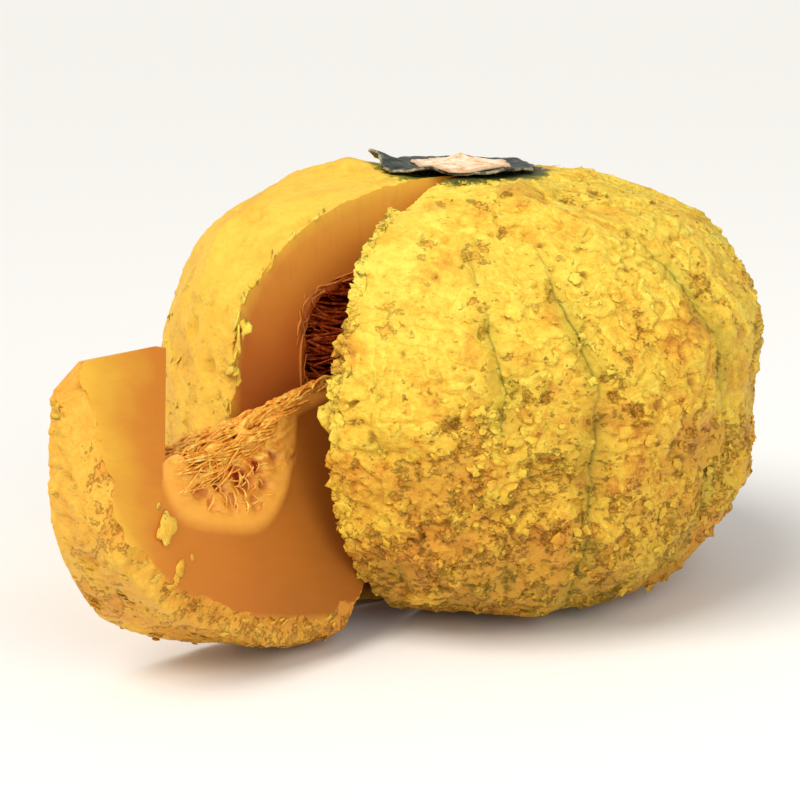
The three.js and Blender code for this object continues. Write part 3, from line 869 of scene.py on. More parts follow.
def olive_and_shade(points):
    """Olive where a trace of rind was left: low down, and in patches towards the side. Towards the bottom
    and on that side it is partly painted shade.
    """
    patch = smooth_field(points, 13, 251) + 0.5 * smooth_field(points, 4, 252)
    low = clamp01((30 - points[:, 2]) / 30) * clamp01(0.45 + patch)
    side = clamp01(np.cos(np.radians(bearing_of(points) - 25))) * clamp01(0.2 + patch)
    return clamp01(0.6 * low + 0.3 * side * torn_share(points))


ON_KNIFE_CUT = 0.02  # mm off a cut within which a corner is on it
ON_SLANT = 0.03
ON_CAVITY_WALL = 0.01  # as a share of the cavity's size
FLESH_DEPTH = 30  # mm from the skin to about the cavity


def dress_flesh(piece, grown, half_angle, slants, is_wedge):
    """Gives a flesh piece its two finishes, and what their colours are worked out from."""
    mesh = piece.data
    mesh.materials.clear()
    mesh.materials.append(PARED)
    mesh.materials.append(CUT)
    corners = face_corners(mesh)
    is_cut = np.zeros(len(corners), dtype=bool)
    for side in (-1, 1):
        is_cut |= np.all(np.abs(off_cut(grown, half_angle, side)[corners]) < ON_KNIFE_CUT, axis=1)
    for slant in slants:
        is_cut |= np.all(np.abs(above_slant(grown, slant)[corners]) < ON_SLANT, axis=1)
    flat = is_cut.copy()
    off_wall = np.abs(ball_level(grown, cavity_ball(0)) - 1)
    is_cut |= np.all(off_wall[corners] < ON_CAVITY_WALL, axis=1)
    mesh.polygons.foreach_set("material_index", is_cut.astype(np.int32))
    smooth = on_ball(grown, SQUASH)
    surface = pared_surface(smooth)
    near_cut = 0 * grown[:, 0]
    if is_wedge:
        surface["torn"] = np.maximum(surface["torn"], 0.75)
        surface["plate"] = surface["plate"] - 0.45
        surface["opened"] = surface["collar"] = near_cut
        ragged = 2.2 * smooth_field(smooth, 5, 461) + smooth_field(smooth, 1.6, 462)
        tinted = 0.42 + 0.4 * clamp01((smooth[:, 2] - 60) / 40)
        near_cut = np.maximum(tinted, clamp01(1.1 + (off_cut(smooth, half_angle, 1) + ragged) / 6))
    store(mesh, "grown", grown * MM)
    for name in ("layer", "flake", "plate", "rib", "opened", "torn", "pit", "collar"):
        store(mesh, name, surface[name])
    store(mesh, "near_cut", near_cut)
    store(mesh, "green", olive_and_shade(smooth) * (0.2 if is_wedge else 1))
    store(mesh, "depth", np.linalg.norm(smooth - grown, axis=1) / FLESH_DEPTH)
    # Painted shade on the squash's own cut faces, none on the wedge's.
    store(mesh, "notch_shade", np.full(len(grown), 0.0 if is_wedge else 1.0))
    smooth_but_for_cuts(piece)
    mesh.polygons.foreach_set("use_smooth", ~flat)


def wedge_turn():
    """The matrix that tips the wedge from where it grew to where it rests, without its height."""
    tip, roll, swing = (math.radians(angle) for angle in WEDGE_TURN)
    turn = Matrix.Rotation(swing, 4, "Z") @ Matrix.Rotation(roll, 4, "Y") @ Matrix.Rotation(tip, 4, "X")
    bulge = Vector((NOTCH_EDGE[0], 2 - BODY_RADIUS, EQUATOR_Z))
    return Matrix.Translation((*WEDGE_ONTO, 0)) @ turn @ Matrix.Translation(-bulge)


def moved(points, matrix):
    """Rows of points under a matrix."""
    table = np.array(matrix)
    return points @ table[:3, :3].T + table[:3, 3]


def slanted(slant):
    """A point on a slanted cut of the wedge, and the direction that rises off it."""
    z, rise = slant
    return (*NOTCH_EDGE, z), Vector((0, rise, 1)).normalized()


def torn_arm():
    """The space where the wedge's thin inner edge tore off, under the cavity."""
    z, rise = ARM_CUT
    low_out, high_out = -6.0, (ARM_TOP - z) / rise
    profile = [(low_out, z + rise * low_out), (high_out, ARM_TOP), (low_out, ARM_TOP)]
    outline = [(-40, NOTCH_EDGE[1] - out, up) for out, up in profile]
    return prism("torn_arm", outline, (100, 0, 0))


def squash_body(ball):
    """The squash without its wedge: the pared ball, hollowed, notched and flat underneath."""
    body = piece_of("pared_squash", ball.data.copy())
    combine(body, cavity_space(0), "DIFFERENCE")
    combine(body, between_cuts(NOTCH_HALF_ANGLE), "DIFFERENCE")
    trim(body, (0, 0, 0), (0, 0, 1))
    triangulate(body)
    thin_out(body, BODY_TRIANGLES)
    break_up(body)
    dress_flesh(body, points_of(body.data), NOTCH_HALF_ANGLE, (), False)
    return body


def squash_wedge(ball, smooth):
    """The wedge where it rests, and the matrix that took it there."""
    wedge = piece_of("wedge_of_flesh", ball.data.copy())
    outer = smooth + WEDGE_RELIEF * (points_of(wedge.data) - smooth)
    chip = 1.2 + smooth_field(smooth, 9, 451) + 0.6 * smooth_field(smooth, 3, 452)
    reach = CHAMFER * clamp01(chip)
    inward = -off_cut(smooth, WEDGE_HALF_ANGLE, 1)
    corner = reach * ease(clamp01(1 - inward / 4.5)) + 1.5 * clamp01(chip - 0.8) * clamp01(1 - inward / 2)
    ray = outer - np.array([0, 0, EQUATOR_Z])
    length = np.linalg.norm(ray, axis=1)
    set_points(wedge.data, outer - ray * (corner / length)[:, None])
    combine(wedge, between_cuts(WEDGE_HALF_ANGLE), "INTERSECT")
    roof_at, roof_up = slanted(WEDGE_ROOF)
    combine(wedge, trim(cavity_space(0), roof_at, -roof_up), "DIFFERENCE")
    combine(wedge, torn_arm(), "DIFFERENCE")
    base_at, base_up = slanted(BASE_CUT)
    trim(wedge, base_at, base_up)
    stem_at, stem_up = slanted(STEM_CUT)
    trim(wedge, stem_at, -stem_up)
    trim(wedge, WEDGE_CORNER, (0.1, -0.6, -0.8))
    triangulate(wedge)
    grown = points_of(wedge.data)
    tipped = moved(grown, wedge_turn())
    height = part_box("wedge_flesh")[1][2] / MM - tipped[:, 2].max()
    rest = Matrix.Translation((0, 0, height)) @ wedge_turn()
    set_points(wedge.data, moved(grown, rest))
    trim(wedge, (0, 0, 0), (0, 0, 1))
    triangulate(wedge)
    break_up(wedge)
    grown = moved(points_of(wedge.data), rest.inverted())
    dress_flesh(wedge, grown, WEDGE_HALF_ANGLE, (BASE_CUT, STEM_CUT, ARM_CUT, WEDGE_ROOF), True)
    return wedge, rest


def make_flesh():
    """The squash, its wedge, and the matrix that took the wedge to where it rests."""
    ball = fine_ball(8, SQUASH)
    smooth = points_of(ball.data)
    set_points(ball.data, lift_off_ball(smooth, SQUASH, pared_surface(smooth)["height"]))
    body = squash_body(ball)
    wedge, rest = squash_wedge(ball, smooth)
    bpy.data.objects.remove(ball)
    return body, wedge, rest


# ---- Pulp ---------------------------------------------------------------------------------------


def strands(name, routes, material, shades):
    """Thin tapering fibres along smooth routes; each route is (points in mm, radius in mm)."""
    curve = bpy.data.curves.new(name, "CURVE")
    curve.dimensions = "3D"
    curve.bevel_depth = MM
    curve.bevel_resolution = 1
    curve.resolution_u = 3
    curve.use_fill_caps = True
    for points, radius in routes:
        spline = curve.splines.new("BEZIER")
        spline.bezier_points.add(len(points) - 1)
        for n, (knot, point) in enumerate(zip(spline.bezier_points, points)):
            knot.co = [part * MM for part in point]
            knot.handle_left_type = knot.handle_right_type = "AUTO"
            along = n / (len(points) - 1)
            knot.radius = radius * (0.55 + 0.45 * math.sin(math.pi * along))
    drawn = bpy.data.objects.new(name, curve)
    bpy.context.scene.collection.objects.link(drawn)
    graph = bpy.context.evaluated_depsgraph_get()
    mesh = bpy.data.meshes.new_from_object(drawn.evaluated_get(graph))
    bpy.data.objects.remove(drawn)
    mesh.materials.clear()
    mesh.materials.append(material)
    mesh.shade_smooth()
    piece = piece_of(name, mesh)
    dress_pulp(piece, points_of(mesh), *shades)
    return piece


def dress_pulp(piece, place, hollow, wall):
    """What the pulp's colour is worked out from: its place, and how hollow or near the wall it is."""
    count = len(place)
    store(piece.data, "grown", place * MM)
    store(piece.data, "hollow", np.broadcast_to(hollow, count).astype(float))
    store(piece.data, "wall", np.broadcast_to(wall, count).astype(float))


def cavity_lining():
    """The stringy coat of the cavity wall, ridged round the cavity."""
    inner = fine_ball(7, cavity_ball(PULP_THICKNESS))
    smooth = points_of(inner.data)
    bearing = np.arctan2(smooth[:, 1], smooth[:, 0]) * CAVITY_RADIUS
    across = np.hypot(smooth[:, 0], smooth[:, 1])
    drawn_out = np.stack([bearing * 0.35, across * 0.5, smooth[:, 2]], axis=1)
    fine_drawn = np.stack([bearing * 0.12, across * 0.3, smooth[:, 2]], axis=1)
    ridges = 1.3 * smooth_field(drawn_out, 5, 61) + 0.7 * np.abs(smooth_field(fine_drawn, 1.6, 62))
    ridges += (2.2 + 0.9 * smooth_field(smooth, 4, 63)) * ease(clamp01(1 - off_notch(smooth) / 14))
    set_points(inner.data, lift_off_ball(smooth, cavity_ball(PULP_THICKNESS), ridges))
    lining = combine(cavity_space(GAP), inner, "DIFFERENCE")
    lining.name = "cavity_lining"
    combine(lining, between_cuts(NOTCH_HALF_ANGLE + 1), "DIFFERENCE")
    triangulate(lining)
    lining.data.materials.clear()
    lining.data.materials.append(LINING)
    lining.data.shade_smooth()
    place = points_of(lining.data)
    wall = clamp01(1 - np.abs(off_notch(place)) / 5)
    wall = wall * clamp01((ball_level(place, cavity_ball(0)) - 0.93) / 0.06)
    dress_pulp(lining, place, 0.0, 0.8 * wall)
    return lining


def cavity_strands():
    """Fibres that leave the lining, bow into the cavity and go back in."""
    draw = Random(7)
    routes = []
    shape = cavity_ball(PULP_THICKNESS)
    for n in range(360):
        z = CAVITY_Z + draw.uniform(-23, 24)
        start = draw.uniform(110, 235) if n % 3 == 0 else draw.uniform(146, 192)
        sweep = draw.uniform(8, 34)
        drop = draw.uniform(-9, 2)
        proud = draw.uniform(1, 11)
        bow = draw.uniform(-2.5, 2.5)
        route = []
        for step in range(6):
            share = step / 5
            bearing = math.radians(start + sweep * share)
            level = z + drop * share + bow * math.sin(math.pi * share)
            wall = on_ball(np.array([[math.cos(bearing) * 60, math.sin(bearing) * 60, level]]), shape)[0]
            reach = math.hypot(wall[0], wall[1]) - proud * math.sin(math.pi * share) + 0.8
            route.append((math.cos(bearing) * reach, math.sin(bearing) * reach, wall[2]))
        inside = [point for point in route if not in_notch(point)]
        if len(inside) > 2:
            routes.append((inside, draw.uniform(0.22, 0.7)))
    return strands("cavity_strands", routes, LINING, (0.0, 0.1))


def window_strands():
    """Fibres strung across the cavity just behind its opening in the two cut faces."""
    draw = Random(17)
    routes = []
    for n in range(240):
        side = 1 if n % 3 == 0 else -1
        z = CAVITY_Z + draw.uniform(-22, 25)
        half, power = CAVITY_ROOF if z > CAVITY_Z else CAVITY_FLOOR
        wall = (CAVITY_RADIUS - 1) * (1 - (abs(z - CAVITY_Z) / half) ** power) ** (1 / power)
        start, reach = draw.uniform(0, 5), draw.uniform(12, 36)
        near, far = draw.uniform(0.5, 7), draw.uniform(3, 17)
        drop, bow = draw.uniform(-9, 3), draw.uniform(-2.5, 1.5)
        route = []
        for step in range(6):
            share = step / 5
            level = z + drop * share + bow * math.sin(math.pi * share)
            behind = near + (far - near) * share
            point = on_notch_face(wall - start - reach * share, level, side, -behind)
            if point:
                route.append(point)
        if len(route) > 3:
            routes.append((route, draw.uniform(0.2, 0.65)))
    return strands("window_strands", routes, LINING, (0.0, 0.0))


def rim_strands():
    """Pale fibres that follow the cavity's rim on both cut faces of the squash."""
    draw = Random(13)
    routes = []
    for n in range(130):
        side = -1 if n % 2 else 1
        inset = draw.uniform(-1.6, 1.8)
        start = draw.uniform(-0.1, 1.0) * math.pi
        sweep = draw.uniform(0.05, 0.26)
        proud = draw.uniform(-0.4, 0.5)
        route = []
        for step in range(5):
            angle = start + sweep * step / 4
            tilt = angle - math.pi / 2
            half, power = CAVITY_ROOF if tilt > 0 else CAVITY_FLOOR
            up = math.copysign(min(1, abs(math.sin(tilt))) ** (2 / power), tilt)
            drift = inset + draw.uniform(-0.7, 0.7)
            across = (CAVITY_RADIUS - drift) * abs(math.cos(tilt)) ** (2 / power)
            z = CAVITY_Z + (half - inset) * up + draw.uniform(-0.3, 0.3)
            point = on_notch_face(across + draw.uniform(-0.5, 0.5), z, side, proud)
            if point:
                route.append(point)
        if len(route) > 2:
            routes.append((route, draw.uniform(0.15, 0.5)))
    return strands("rim_strands", routes, LINING, (0.0, 0.75))


def on_notch_face(across, z, side, proud):
    """The point of a cut face of the squash that is across mm from the axis, proud of the face."""
    lean = math.radians(NOTCH_HALF_ANGLE)
    along = (side * math.sin(lean), -math.cos(lean))
    out = (-side * math.cos(lean), -math.sin(lean))
    middle = NOTCH_EDGE[0] * along[0] + NOTCH_EDGE[1] * along[1]
    inside = middle**2 - NOTCH_EDGE[0] ** 2 - NOTCH_EDGE[1] ** 2 + across**2
    if inside < 0:
        return None
    reach = -middle + math.sqrt(inside)
    if reach < 0:
        return None
    x = NOTCH_EDGE[0] + along[0] * reach + out[0] * proud
    y = NOTCH_EDGE[1] + along[1] * reach + out[1] * proud
    return (x, y, z)


def in_notch(point):
    """Whether a point is in the notch, or within half a millimetre of it."""
    dx = abs(point[0] - NOTCH_EDGE[0])
    dy = NOTCH_EDGE[1] - point[1]
    return dy > 0 and dx < dy * math.tan(math.radians(NOTCH_HALF_ANGLE)) + 0.5


def pulp_edge(z):
    """How far out from the notch's edge the wedge's pulp begins."""
    return np.maximum(3.5, 27 - 0.47 * (83 - np.minimum(z, 88)))


def inside_wall(points):
    """Depth of points inside the wedge's cavity wall, in mm, taking in the torn inner edge."""
    wall = (1 - ball_level(points, cavity_ball(0))) * 38  # mm, about, near the wall
    roof = 3 - 3 * above_slant(points, WEDGE_ROOF)
    arm = above_slant(points, ARM_CUT) / math.hypot(1, ARM_CUT[1])
    return np.maximum(np.minimum(wall, roof), np.where(points[:, 2] < ARM_TOP, arm, -9))


WEDGE_HOLLOWS = (  # out from the notch's edge, height, size and depth of each hollow in a cut face
    (37, 86, 2.0, 2.0),
    (34, 79, 2.1, 2.2),
    (33, 71, 2.6, 2.6),
    (29, 65, 2.0, 2.2),
    (34, 62, 1.8, 2.0),
    (38, 66, 1.8, 2.2),
    (39, 75, 1.8, 2.0),
    (26, 58, 1.7, 1.6),
    (40, 82, 1.6, 2.0),
    (29, 74, 1.7, 1.8),
    (25, 51, 1.5, 1.4),
    (31, 86, 1.6, 1.5),
)


def pulp_hollows(out, z):
    """How deep the hollows left by seeds are at places on the cut face."""
    ragged = np.stack([out, 0 * out, z], axis=1)
    bend_out = out + 1.3 * smooth_field(ragged, 2.2, 131)
    bend_z = z + 1.3 * smooth_field(ragged, 2.2, 132)
    depth = 0 * out
    for hole_out, hole_z, size, deep in WEDGE_HOLLOWS:
        near = ((bend_out - hole_out) ** 2 + (bend_z - hole_z) ** 2) / size**2
        depth = depth + deep * np.exp(-near)
    return depth


def wedge_pulp(rest):
    """The fibrous mass that stayed in the wedge. It rises out of the cut face without an edge."""
    low, high = ARM_CUT[0] + 8, WEDGE_ROOF[0] + 60 * WEDGE_ROOF[1] + 1.5
    spread = math.tan(math.radians(WEDGE_HALF_ANGLE))
    bm = bmesh.new()
    bmesh.ops.create_cube(bm, size=1.0)
    bmesh.ops.subdivide_edges(bm, edges=bm.edges, cuts=110, use_grid_fill=True)
    pulp = new_piece("wedge_pulp_mass", bm, [WEDGE_FIBRE])
    unit = points_of(pulp.data) * MM
    z = low + (unit[:, 2] + 0.5) * (high - low)
    depth = 0.5 - unit[:, 1]
    side = unit[:, 0] * 2
    tuft_at = np.stack([side * 5, depth * 6, z * 0.45], axis=1)
    tuft = 2.0 * smooth_field(tuft_at, 2.2, 101) + 1.0 * smooth_field(tuft_at * 2.6, 2.0, 102)
    edge = pulp_edge(z)
    far = np.maximum(edge + 8, np.minimum(58, edge + 3.5 + 2.4 * np.maximum(0, z - 42)))
    out = edge + depth * (far - edge) + tuft * (1 - depth) ** 4
    along = out * 0.42 + z * 0.9  # the way the fibres run
    athwart = out * 0.9 - z * 0.42
    streaks = np.stack([athwart, along * 0.2, side], axis=1)
    fibres = 0.6 * smooth_field(streaks, 1.3, 111) + 0.7 * np.abs(smooth_field(streaks, 2.6, 112))
    centre = np.stack([NOTCH_EDGE[0] + side * out * spread, NOTCH_EDGE[1] - out, z], axis=1)
    inside = inside_wall(centre) + 1.2 * smooth_field(streaks, 3, 113)
    swell = -0.25 + 0.8 * ease(clamp01((inside + 6.2) / 16))
    hollow = pulp_hollows(out, z)
    proud = swell + 1.2 * fibres * ease(clamp01((inside - 2) / 8)) - hollow
    proud = proud * clamp01((out - 2) / 6)
    on_face = np.clip((np.abs(side) - 0.9) / 0.1, 0, 1)
    centre[:, 0] += np.sign(side) * proud * on_face
    set_points(pulp.data, moved(centre, rest))
    triangulate(pulp)
    pulp.data.shade_smooth()
    grown = moved(points_of(pulp.data), rest.inverted())
    reach = NOTCH_EDGE[1] - grown[:, 1]
    wall = clamp01(1 - (inside_wall(grown) - 0.5) / 10) ** 1.5
    dress_pulp(pulp, grown, clamp01(pulp_hollows(reach, grown[:, 2]) / 1.2), wall)
    return pulp


def on_wedge_face(out, z, side, proud):
    """The point of a cut face of the wedge, where it grew, that is out mm from the notch's edge."""
    lean = math.radians(WEDGE_HALF_ANGLE)
    x = NOTCH_EDGE[0] + side * (out * math.sin(lean) + proud * math.cos(lean))
    y = NOTCH_EDGE[1] - out * math.cos(lean) + proud * math.sin(lean)
    return (x, y, z)


def wedge_strands(rest):
    """Fibres over both cut faces of the wedge's pulp, most of them along its ragged edge."""
    draw = Random(11)
    routes = []
    lean = math.radians(WEDGE_HALF_ANGLE)
    for n in range(330):
        side = -1 if n % 4 == 0 else 1
        z = draw.uniform(34, 97)
        out = float(pulp_edge(np.array(z))) + 0.5 + abs(draw.gauss(0, 1)) * 3.6
        fanned = draw.random() < 0.22
        if fanned:
            z, out = draw.gauss(72, 8), draw.gauss(34, 4)
        heading = math.radians(draw.uniform(-40, 100) if fanned else draw.gauss(65, 9))
        length = draw.uniform(3, 6) if fanned else draw.uniform(8, 20)
        curl = draw.uniform(-0.5, 0.5)
        proud = draw.uniform(0.8, 2.0)
        route = []
        for step in range(6):
            share = step / 5
            rise = 0.4 + proud * math.sin(math.pi * share) - 0.6
            route.append(on_wedge_face(out, z, side, rise + draw.uniform(-0.15, 0.15)))
            out += math.cos(heading + curl * share) * length / 5
            z += math.sin(heading + curl * share) * length / 5
        table = np.array(route)
        past_edge = NOTCH_EDGE[1] - table[:, 1] > pulp_edge(table[:, 2]) - 2
        if np.all(inside_wall(table) > 3) and np.all(past_edge):
            routes.append((moved(table, rest), draw.uniform(0.12, 0.36)))
    for _ in range(420):
        z = draw.uniform(28, 92)
        side = draw.uniform(-1, 1)
        length = draw.uniform(4, 18)
        sway = draw.uniform(-2, 2)
        loose = draw.uniform(0.2, 3.0)
        route = []
        for step in range(5):
            share = step / 4
            level = z + length * share
            if level > WEDGE_ROOF[0] - 1:
                break
            out = float(pulp_edge(np.array(level))) - 0.5 - loose * math.sin(math.pi * share)
            half = max(0.3, out * math.tan(lean))
            x = NOTCH_EDGE[0] + max(-half, min(half, side * half + sway * share))
            route.append((x, NOTCH_EDGE[1] - out, level))
        if len(route) > 2:
            routes.append((moved(np.array(route), rest), draw.uniform(0.2, 0.65)))
    return strands("wedge_strands", routes, WEDGE_FIBRE, (0.0, 0.0))


# ---- Stem end -----------------------------------------------------------------------------------


def crown_z(x, y):
    """The level of the crown, without its relief."""
    reach = np.minimum(1, np.hypot(x, y) / BODY_RADIUS)
    return EQUATOR_Z + CROWN[0] * (1 - reach ** CROWN[1]) ** (1 / CROWN[1]) + crown_rise(x, y)


def cap_lift(x, y):
    """How far the disc of rind stands off the crown: flat in the middle, waved along its rim."""
    across = np.hypot(x, y)
    out = clamp01((across - 11) / (CAP_RADIUS - 11))
    bearings, lifts = zip(*RIM_LIFT)
    return out**1.6 * np.interp(np.degrees(np.arctan2(y, x)), bearings, lifts)


def rind_disc():
    """The disc of rind left round the stem: ragged, buckled and lifted along its rim."""
    rings = 30
    profile = [(CAP_RADIUS * n / rings, 0) for n in range(rings + 1)]
    for n in range(rings, -1, -1):
        share = n / rings
        profile.append(((CAP_RADIUS - 0.3) * share, CAP_THICKNESS * (1 - 0.5 * share**2)))
    disc = spun("rind_disc", profile, 220, [RIND])
    points = points_of(disc.data)
    top = points[:, 2] > 0.01
    bearing = np.arctan2(points[:, 1], points[:, 0])
    share = np.hypot(points[:, 0], points[:, 1]) / CAP_RADIUS
    round_edge = np.stack([np.cos(bearing) * 20, np.sin(bearing) * 20, 0 * bearing], axis=1)
    ragged = 1 - 0.04 * np.abs(np.sin(2.5 * bearing + 1)) + 0.02 * np.sin(9 * bearing)
    ragged -= 0.16 * np.maximum(0, np.cos(bearing - math.radians(40))) ** 3
    torn = 0.04 * smooth_field(round_edge, 3.4, 301) + 0.02 * smooth_field(round_edge, 1.2, 302)
    ragged += share**4 * torn
    points[:, :2] *= ragged[:, None]
    x, y = points[:, 0], points[:, 1]
    flat = points * np.array([1, 1, 0])
    buckle = (0.4 * smooth_field(flat, 5, 303) + 0.2 * smooth_field(flat, 2, 304)) * share**2
    points[:, 2] += crown_z(x, y) + CAP_CLEARANCE + cap_lift(x, y) + buckle
    set_points(disc.data, points)
    disc.data.shade_smooth()
    store(disc.data, "sliced", clamp01((share - 0.975) / 0.02) * 0.9)
    # Olive on the underside, darkened as painted shade.
    store(disc.data, "below", np.where(top, 0.0, 0.85) * clamp01((1 - share) / 0.02))
    return disc


def rind_wisp():
    """A hair of fibre that stands off the rim of the disc."""
    route = [(25.0, 8.0, 127.4), (27.6, 9.0, 128.4), (30.5, 10.0, 128.9)]
    piece = strands("rind_wisp", [(route, 0.16)], CORK, (0.0, 0.0))
    store(piece.data, "browned", np.full(len(piece.data.vertices), 0.2))
    return piece


def stem_scar():
    """The corky scar: a low, wrinkled peak with lobes, and a tongue that runs on over the disc."""
    rings = 34
    profile = [(SCAR_RADIUS * n / rings, 0) for n in range(rings + 1)]
    for n in range(rings, -1, -1):
        out = n / rings
        height = SCAR_RIM + (SCAR_HEIGHT - SCAR_RIM) * (1 - out) ** 2
        profile.append(((SCAR_RADIUS - 0.3) * out, height))
    scar = spun("corky_stem_scar", profile, 180, [CORK])
    points = points_of(scar.data)
    bearing = np.arctan2(points[:, 1], points[:, 0])
    share = np.hypot(points[:, 0], points[:, 1]) / SCAR_RADIUS
    above = clamp01(points[:, 2] / SCAR_HEIGHT)
    tongue = np.maximum(0, np.cos(bearing - math.radians(SCAR_TONGUE[0]))) ** 3
    round_edge = np.stack([np.cos(bearing) * 12, np.sin(bearing) * 12, 0 * bearing], axis=1)
    lobed = 1 + 0.07 * np.cos(SCAR_LOBES * bearing) + SCAR_TONGUE[1] * tongue
    lobed += share**3 * 0.07 * smooth_field(round_edge, 2.4, 313)
    points[:, :2] *= lobed[:, None]
    x, y = points[:, 0], points[:, 1]
    flat = points * np.array([1, 1, 0])
    wrinkle = 0.5 * smooth_field(flat, 3.4, 311) + 0.25 * smooth_field(flat, 1.4, 312)
    ridge = 0.3 * np.cos(SCAR_LOBES * bearing) * above + wrinkle * above**0.5 * (0.3 + share)
    thickness = CAP_THICKNESS * (1 - 0.5 * (np.hypot(x, y) / 27) ** 2)
    disc_top = crown_z(x, y) + CAP_CLEARANCE + cap_lift(x, y) + thickness
    points[:, 2] += disc_top + 0.15 + np.maximum(ridge, -0.6 * points[:, 2])
    set_points(scar.data, points)
    scar.data.shade_smooth()
    tip = clamp01(1 - np.hypot(x - 1.5, y - 1) / 4) * clamp01(0.9 + wrinkle * 2)
    store(scar.data, "browned", clamp01(0.55 * clamp01((share - 0.8) / 0.2) + 0.8 * tip))
    return scar


# ---- Scraps and crumbs --------------------------------------------------------------------------


def flake(bm, at, normal, lift, size, draw):
    """A torn scrap of flesh: a thin jagged plate that leans up towards lift, its far edge sunk in."""
    segments = draw.randint(8, 12)
    rim = [draw.uniform(0.4, 1.15) for _ in range(segments)]
    crease = [draw.uniform(-0.09, 0.09) for _ in range(segments)]
    stretch = draw.uniform(0.7, 1.7)
    made = bmesh.ops.create_cone(
        bm,
        cap_ends=True,
        cap_tris=True,
        segments=segments,
        radius1=0.5,
        radius2=0.42,
        depth=draw.uniform(0.05, 0.1),
    )["verts"]
    curl = draw.uniform(0.0, 0.45)
    for vert in made:
        number = round(math.atan2(vert.co.y, vert.co.x) / (2 * math.pi) * segments) % segments
        if vert.co.length > 0.2:
            vert.co.xy *= rim[number]
            vert.co.z += crease[number]
        vert.co.x *= stretch
        vert.co.z += curl * (vert.co.y + 0.3) ** 2
    side = normal.cross(lift).normalized()
    ahead = side.cross(normal)
    turn = Matrix((side, ahead, normal)).transposed().to_4x4()
    spin = Matrix.Rotation(draw.uniform(-0.7, 0.7), 4, "Z")
    tilt = Matrix.Rotation(draw.uniform(0.02, 0.3), 4, "X")
    place = Matrix.Translation(at) @ turn @ spin @ tilt @ Matrix.Scale(size, 4)
    bmesh.ops.transform(bm, matrix=place, verts=made)


def crumb(bm, at, size, draw):
    """A loose grain of flesh."""
    made = bmesh.ops.create_icosphere(bm, subdivisions=1, radius=0.5)["verts"]
    for vert in made:
        vert.co *= draw.uniform(0.5, 1.2)
    turn = Euler([draw.uniform(0, 6.3) for _ in range(3)]).to_matrix().to_4x4()
    flat = Matrix.Diagonal((1.3, 0.9, 0.55, 1))
    place = Matrix.Translation(at) @ turn @ flat @ Matrix.Scale(size, 4)
    bmesh.ops.transform(bm, matrix=place, verts=made)


def clot(bm, at, face, size, draw):
    """A flat lump of flesh stuck to a cut face, longer than it is wide."""
    made = bmesh.ops.create_icosphere(bm, subdivisions=3, radius=0.5)["verts"]
    waves = [(Vector([draw.gauss(0, 7) for _ in range(3)]), draw.uniform(0, 6.3)) for _ in range(6)]
    for vert in made:
        uneven = sum(math.sin(wave.dot(vert.co) + phase) for wave, phase in waves)
        vert.co *= 1 + 0.1 * uneven + draw.uniform(-0.04, 0.04)
    ahead = Vector((0, -0.95, 0.3))
    ahead = (ahead - face * ahead.dot(face)).normalized()
    turn = Matrix((face.cross(ahead), ahead, face)).transposed().to_4x4()
    flat = Matrix.Diagonal((0.62, 1, 0.17, 1))
    place = Matrix.Translation(at) @ turn @ flat @ Matrix.Scale(size, 4)
    bmesh.ops.transform(bm, matrix=place, verts=made)


def gathered(name, scraps):
    """One piece from many scraps, each a function and what it is given. They are made a few dozen at
    a time, because every step on a large mesh is slow."""
    whole = bmesh.new()
    for first in range(0, len(scraps), 40):
        bm = bmesh.new()
        for make, *details in scraps[first : first + 40]:
            make(bm, *details)
        batch = bpy.data.meshes.new("batch")
        bm.to_mesh(batch)
        bm.free()
        whole.from_mesh(batch)
        bpy.data.meshes.remove(batch)
    return new_piece(name, whole)


def scatter(count, seed):
    """Seeded places on the pared surface: seats on it, outward directions, and how torn it is."""
    draw = Random(seed)
    spots = []
    while len(spots) < count:
        ray = Vector((draw.gauss(0, 1), draw.gauss(0, 1), draw.gauss(0, 1))).normalized()
        spots.append((ray.x * BODY_RADIUS, ray.y * BODY_RADIUS, EQUATOR_Z + ray.z * CROWN[0]))
    for _ in range(900):  # more of them in the collar round the disc
        turn, out = math.radians(draw.uniform(-100, 35)), CAP_RADIUS + draw.uniform(0.5, 11)
        spots.append((out * math.cos(turn), out * math.sin(turn), EQUATOR_Z + CROWN[0]))
    return seats(np.array(spots))


def seats(spots):
    """Where rays through the spots meet the smooth and the pared surface, which way is outward there,
    and how torn it is."""
    smooth = on_ball(spots, SQUASH)
    surface = pared_surface(smooth)
    height = surface["height"]
    seat = lift_off_ball(smooth, SQUASH, height)
    outward = lift_off_ball(smooth, SQUASH, height + 1) - seat
    return smooth, seat, outward / np.linalg.norm(outward, axis=1)[:, None], surface["torn"]


def in_gap(points, half_angle, margin):
    """Where points are between the two knife cuts, or within margin of them."""
    inside = off_cut(points, half_angle, 1) < margin
    inside &= off_cut(points, half_angle, -1) < margin
    return inside & (points[:, 1] < NOTCH_EDGE[1])


def dress_scraps(piece, grown):
    """Gives scraps the torn flesh's finish, as plates without seams, pits or collar."""
    mesh = piece.data
    mesh.materials.append(PARED)
    mesh.shade_smooth()
    smooth = on_ball(grown, SQUASH)
    nothing = np.zeros(len(grown))
    plate = 0.75 * smooth_field(smooth, 10, 501) + 0.5 * smooth_field(smooth, 4, 504)
    store(mesh, "grown", grown * MM)
    tone = clamp01(0.35 + 0.45 * smooth_field(smooth, 5, 471))
    store(mesh, "layer", tone * 0.8)
    store(mesh, "flake", tone * 0.8)
    store(mesh, "plate", plate + 0.5)
    store(mesh, "rib", nothing + 9)
    store(mesh, "torn", nothing + 0.8)
    for name in ("opened", "pit", "collar", "near_cut"):
        store(mesh, name, nothing)
    store(mesh, "green", olive_and_shade(smooth) * 0.5 + 0.6 * clamp01(collar(smooth) * 3))


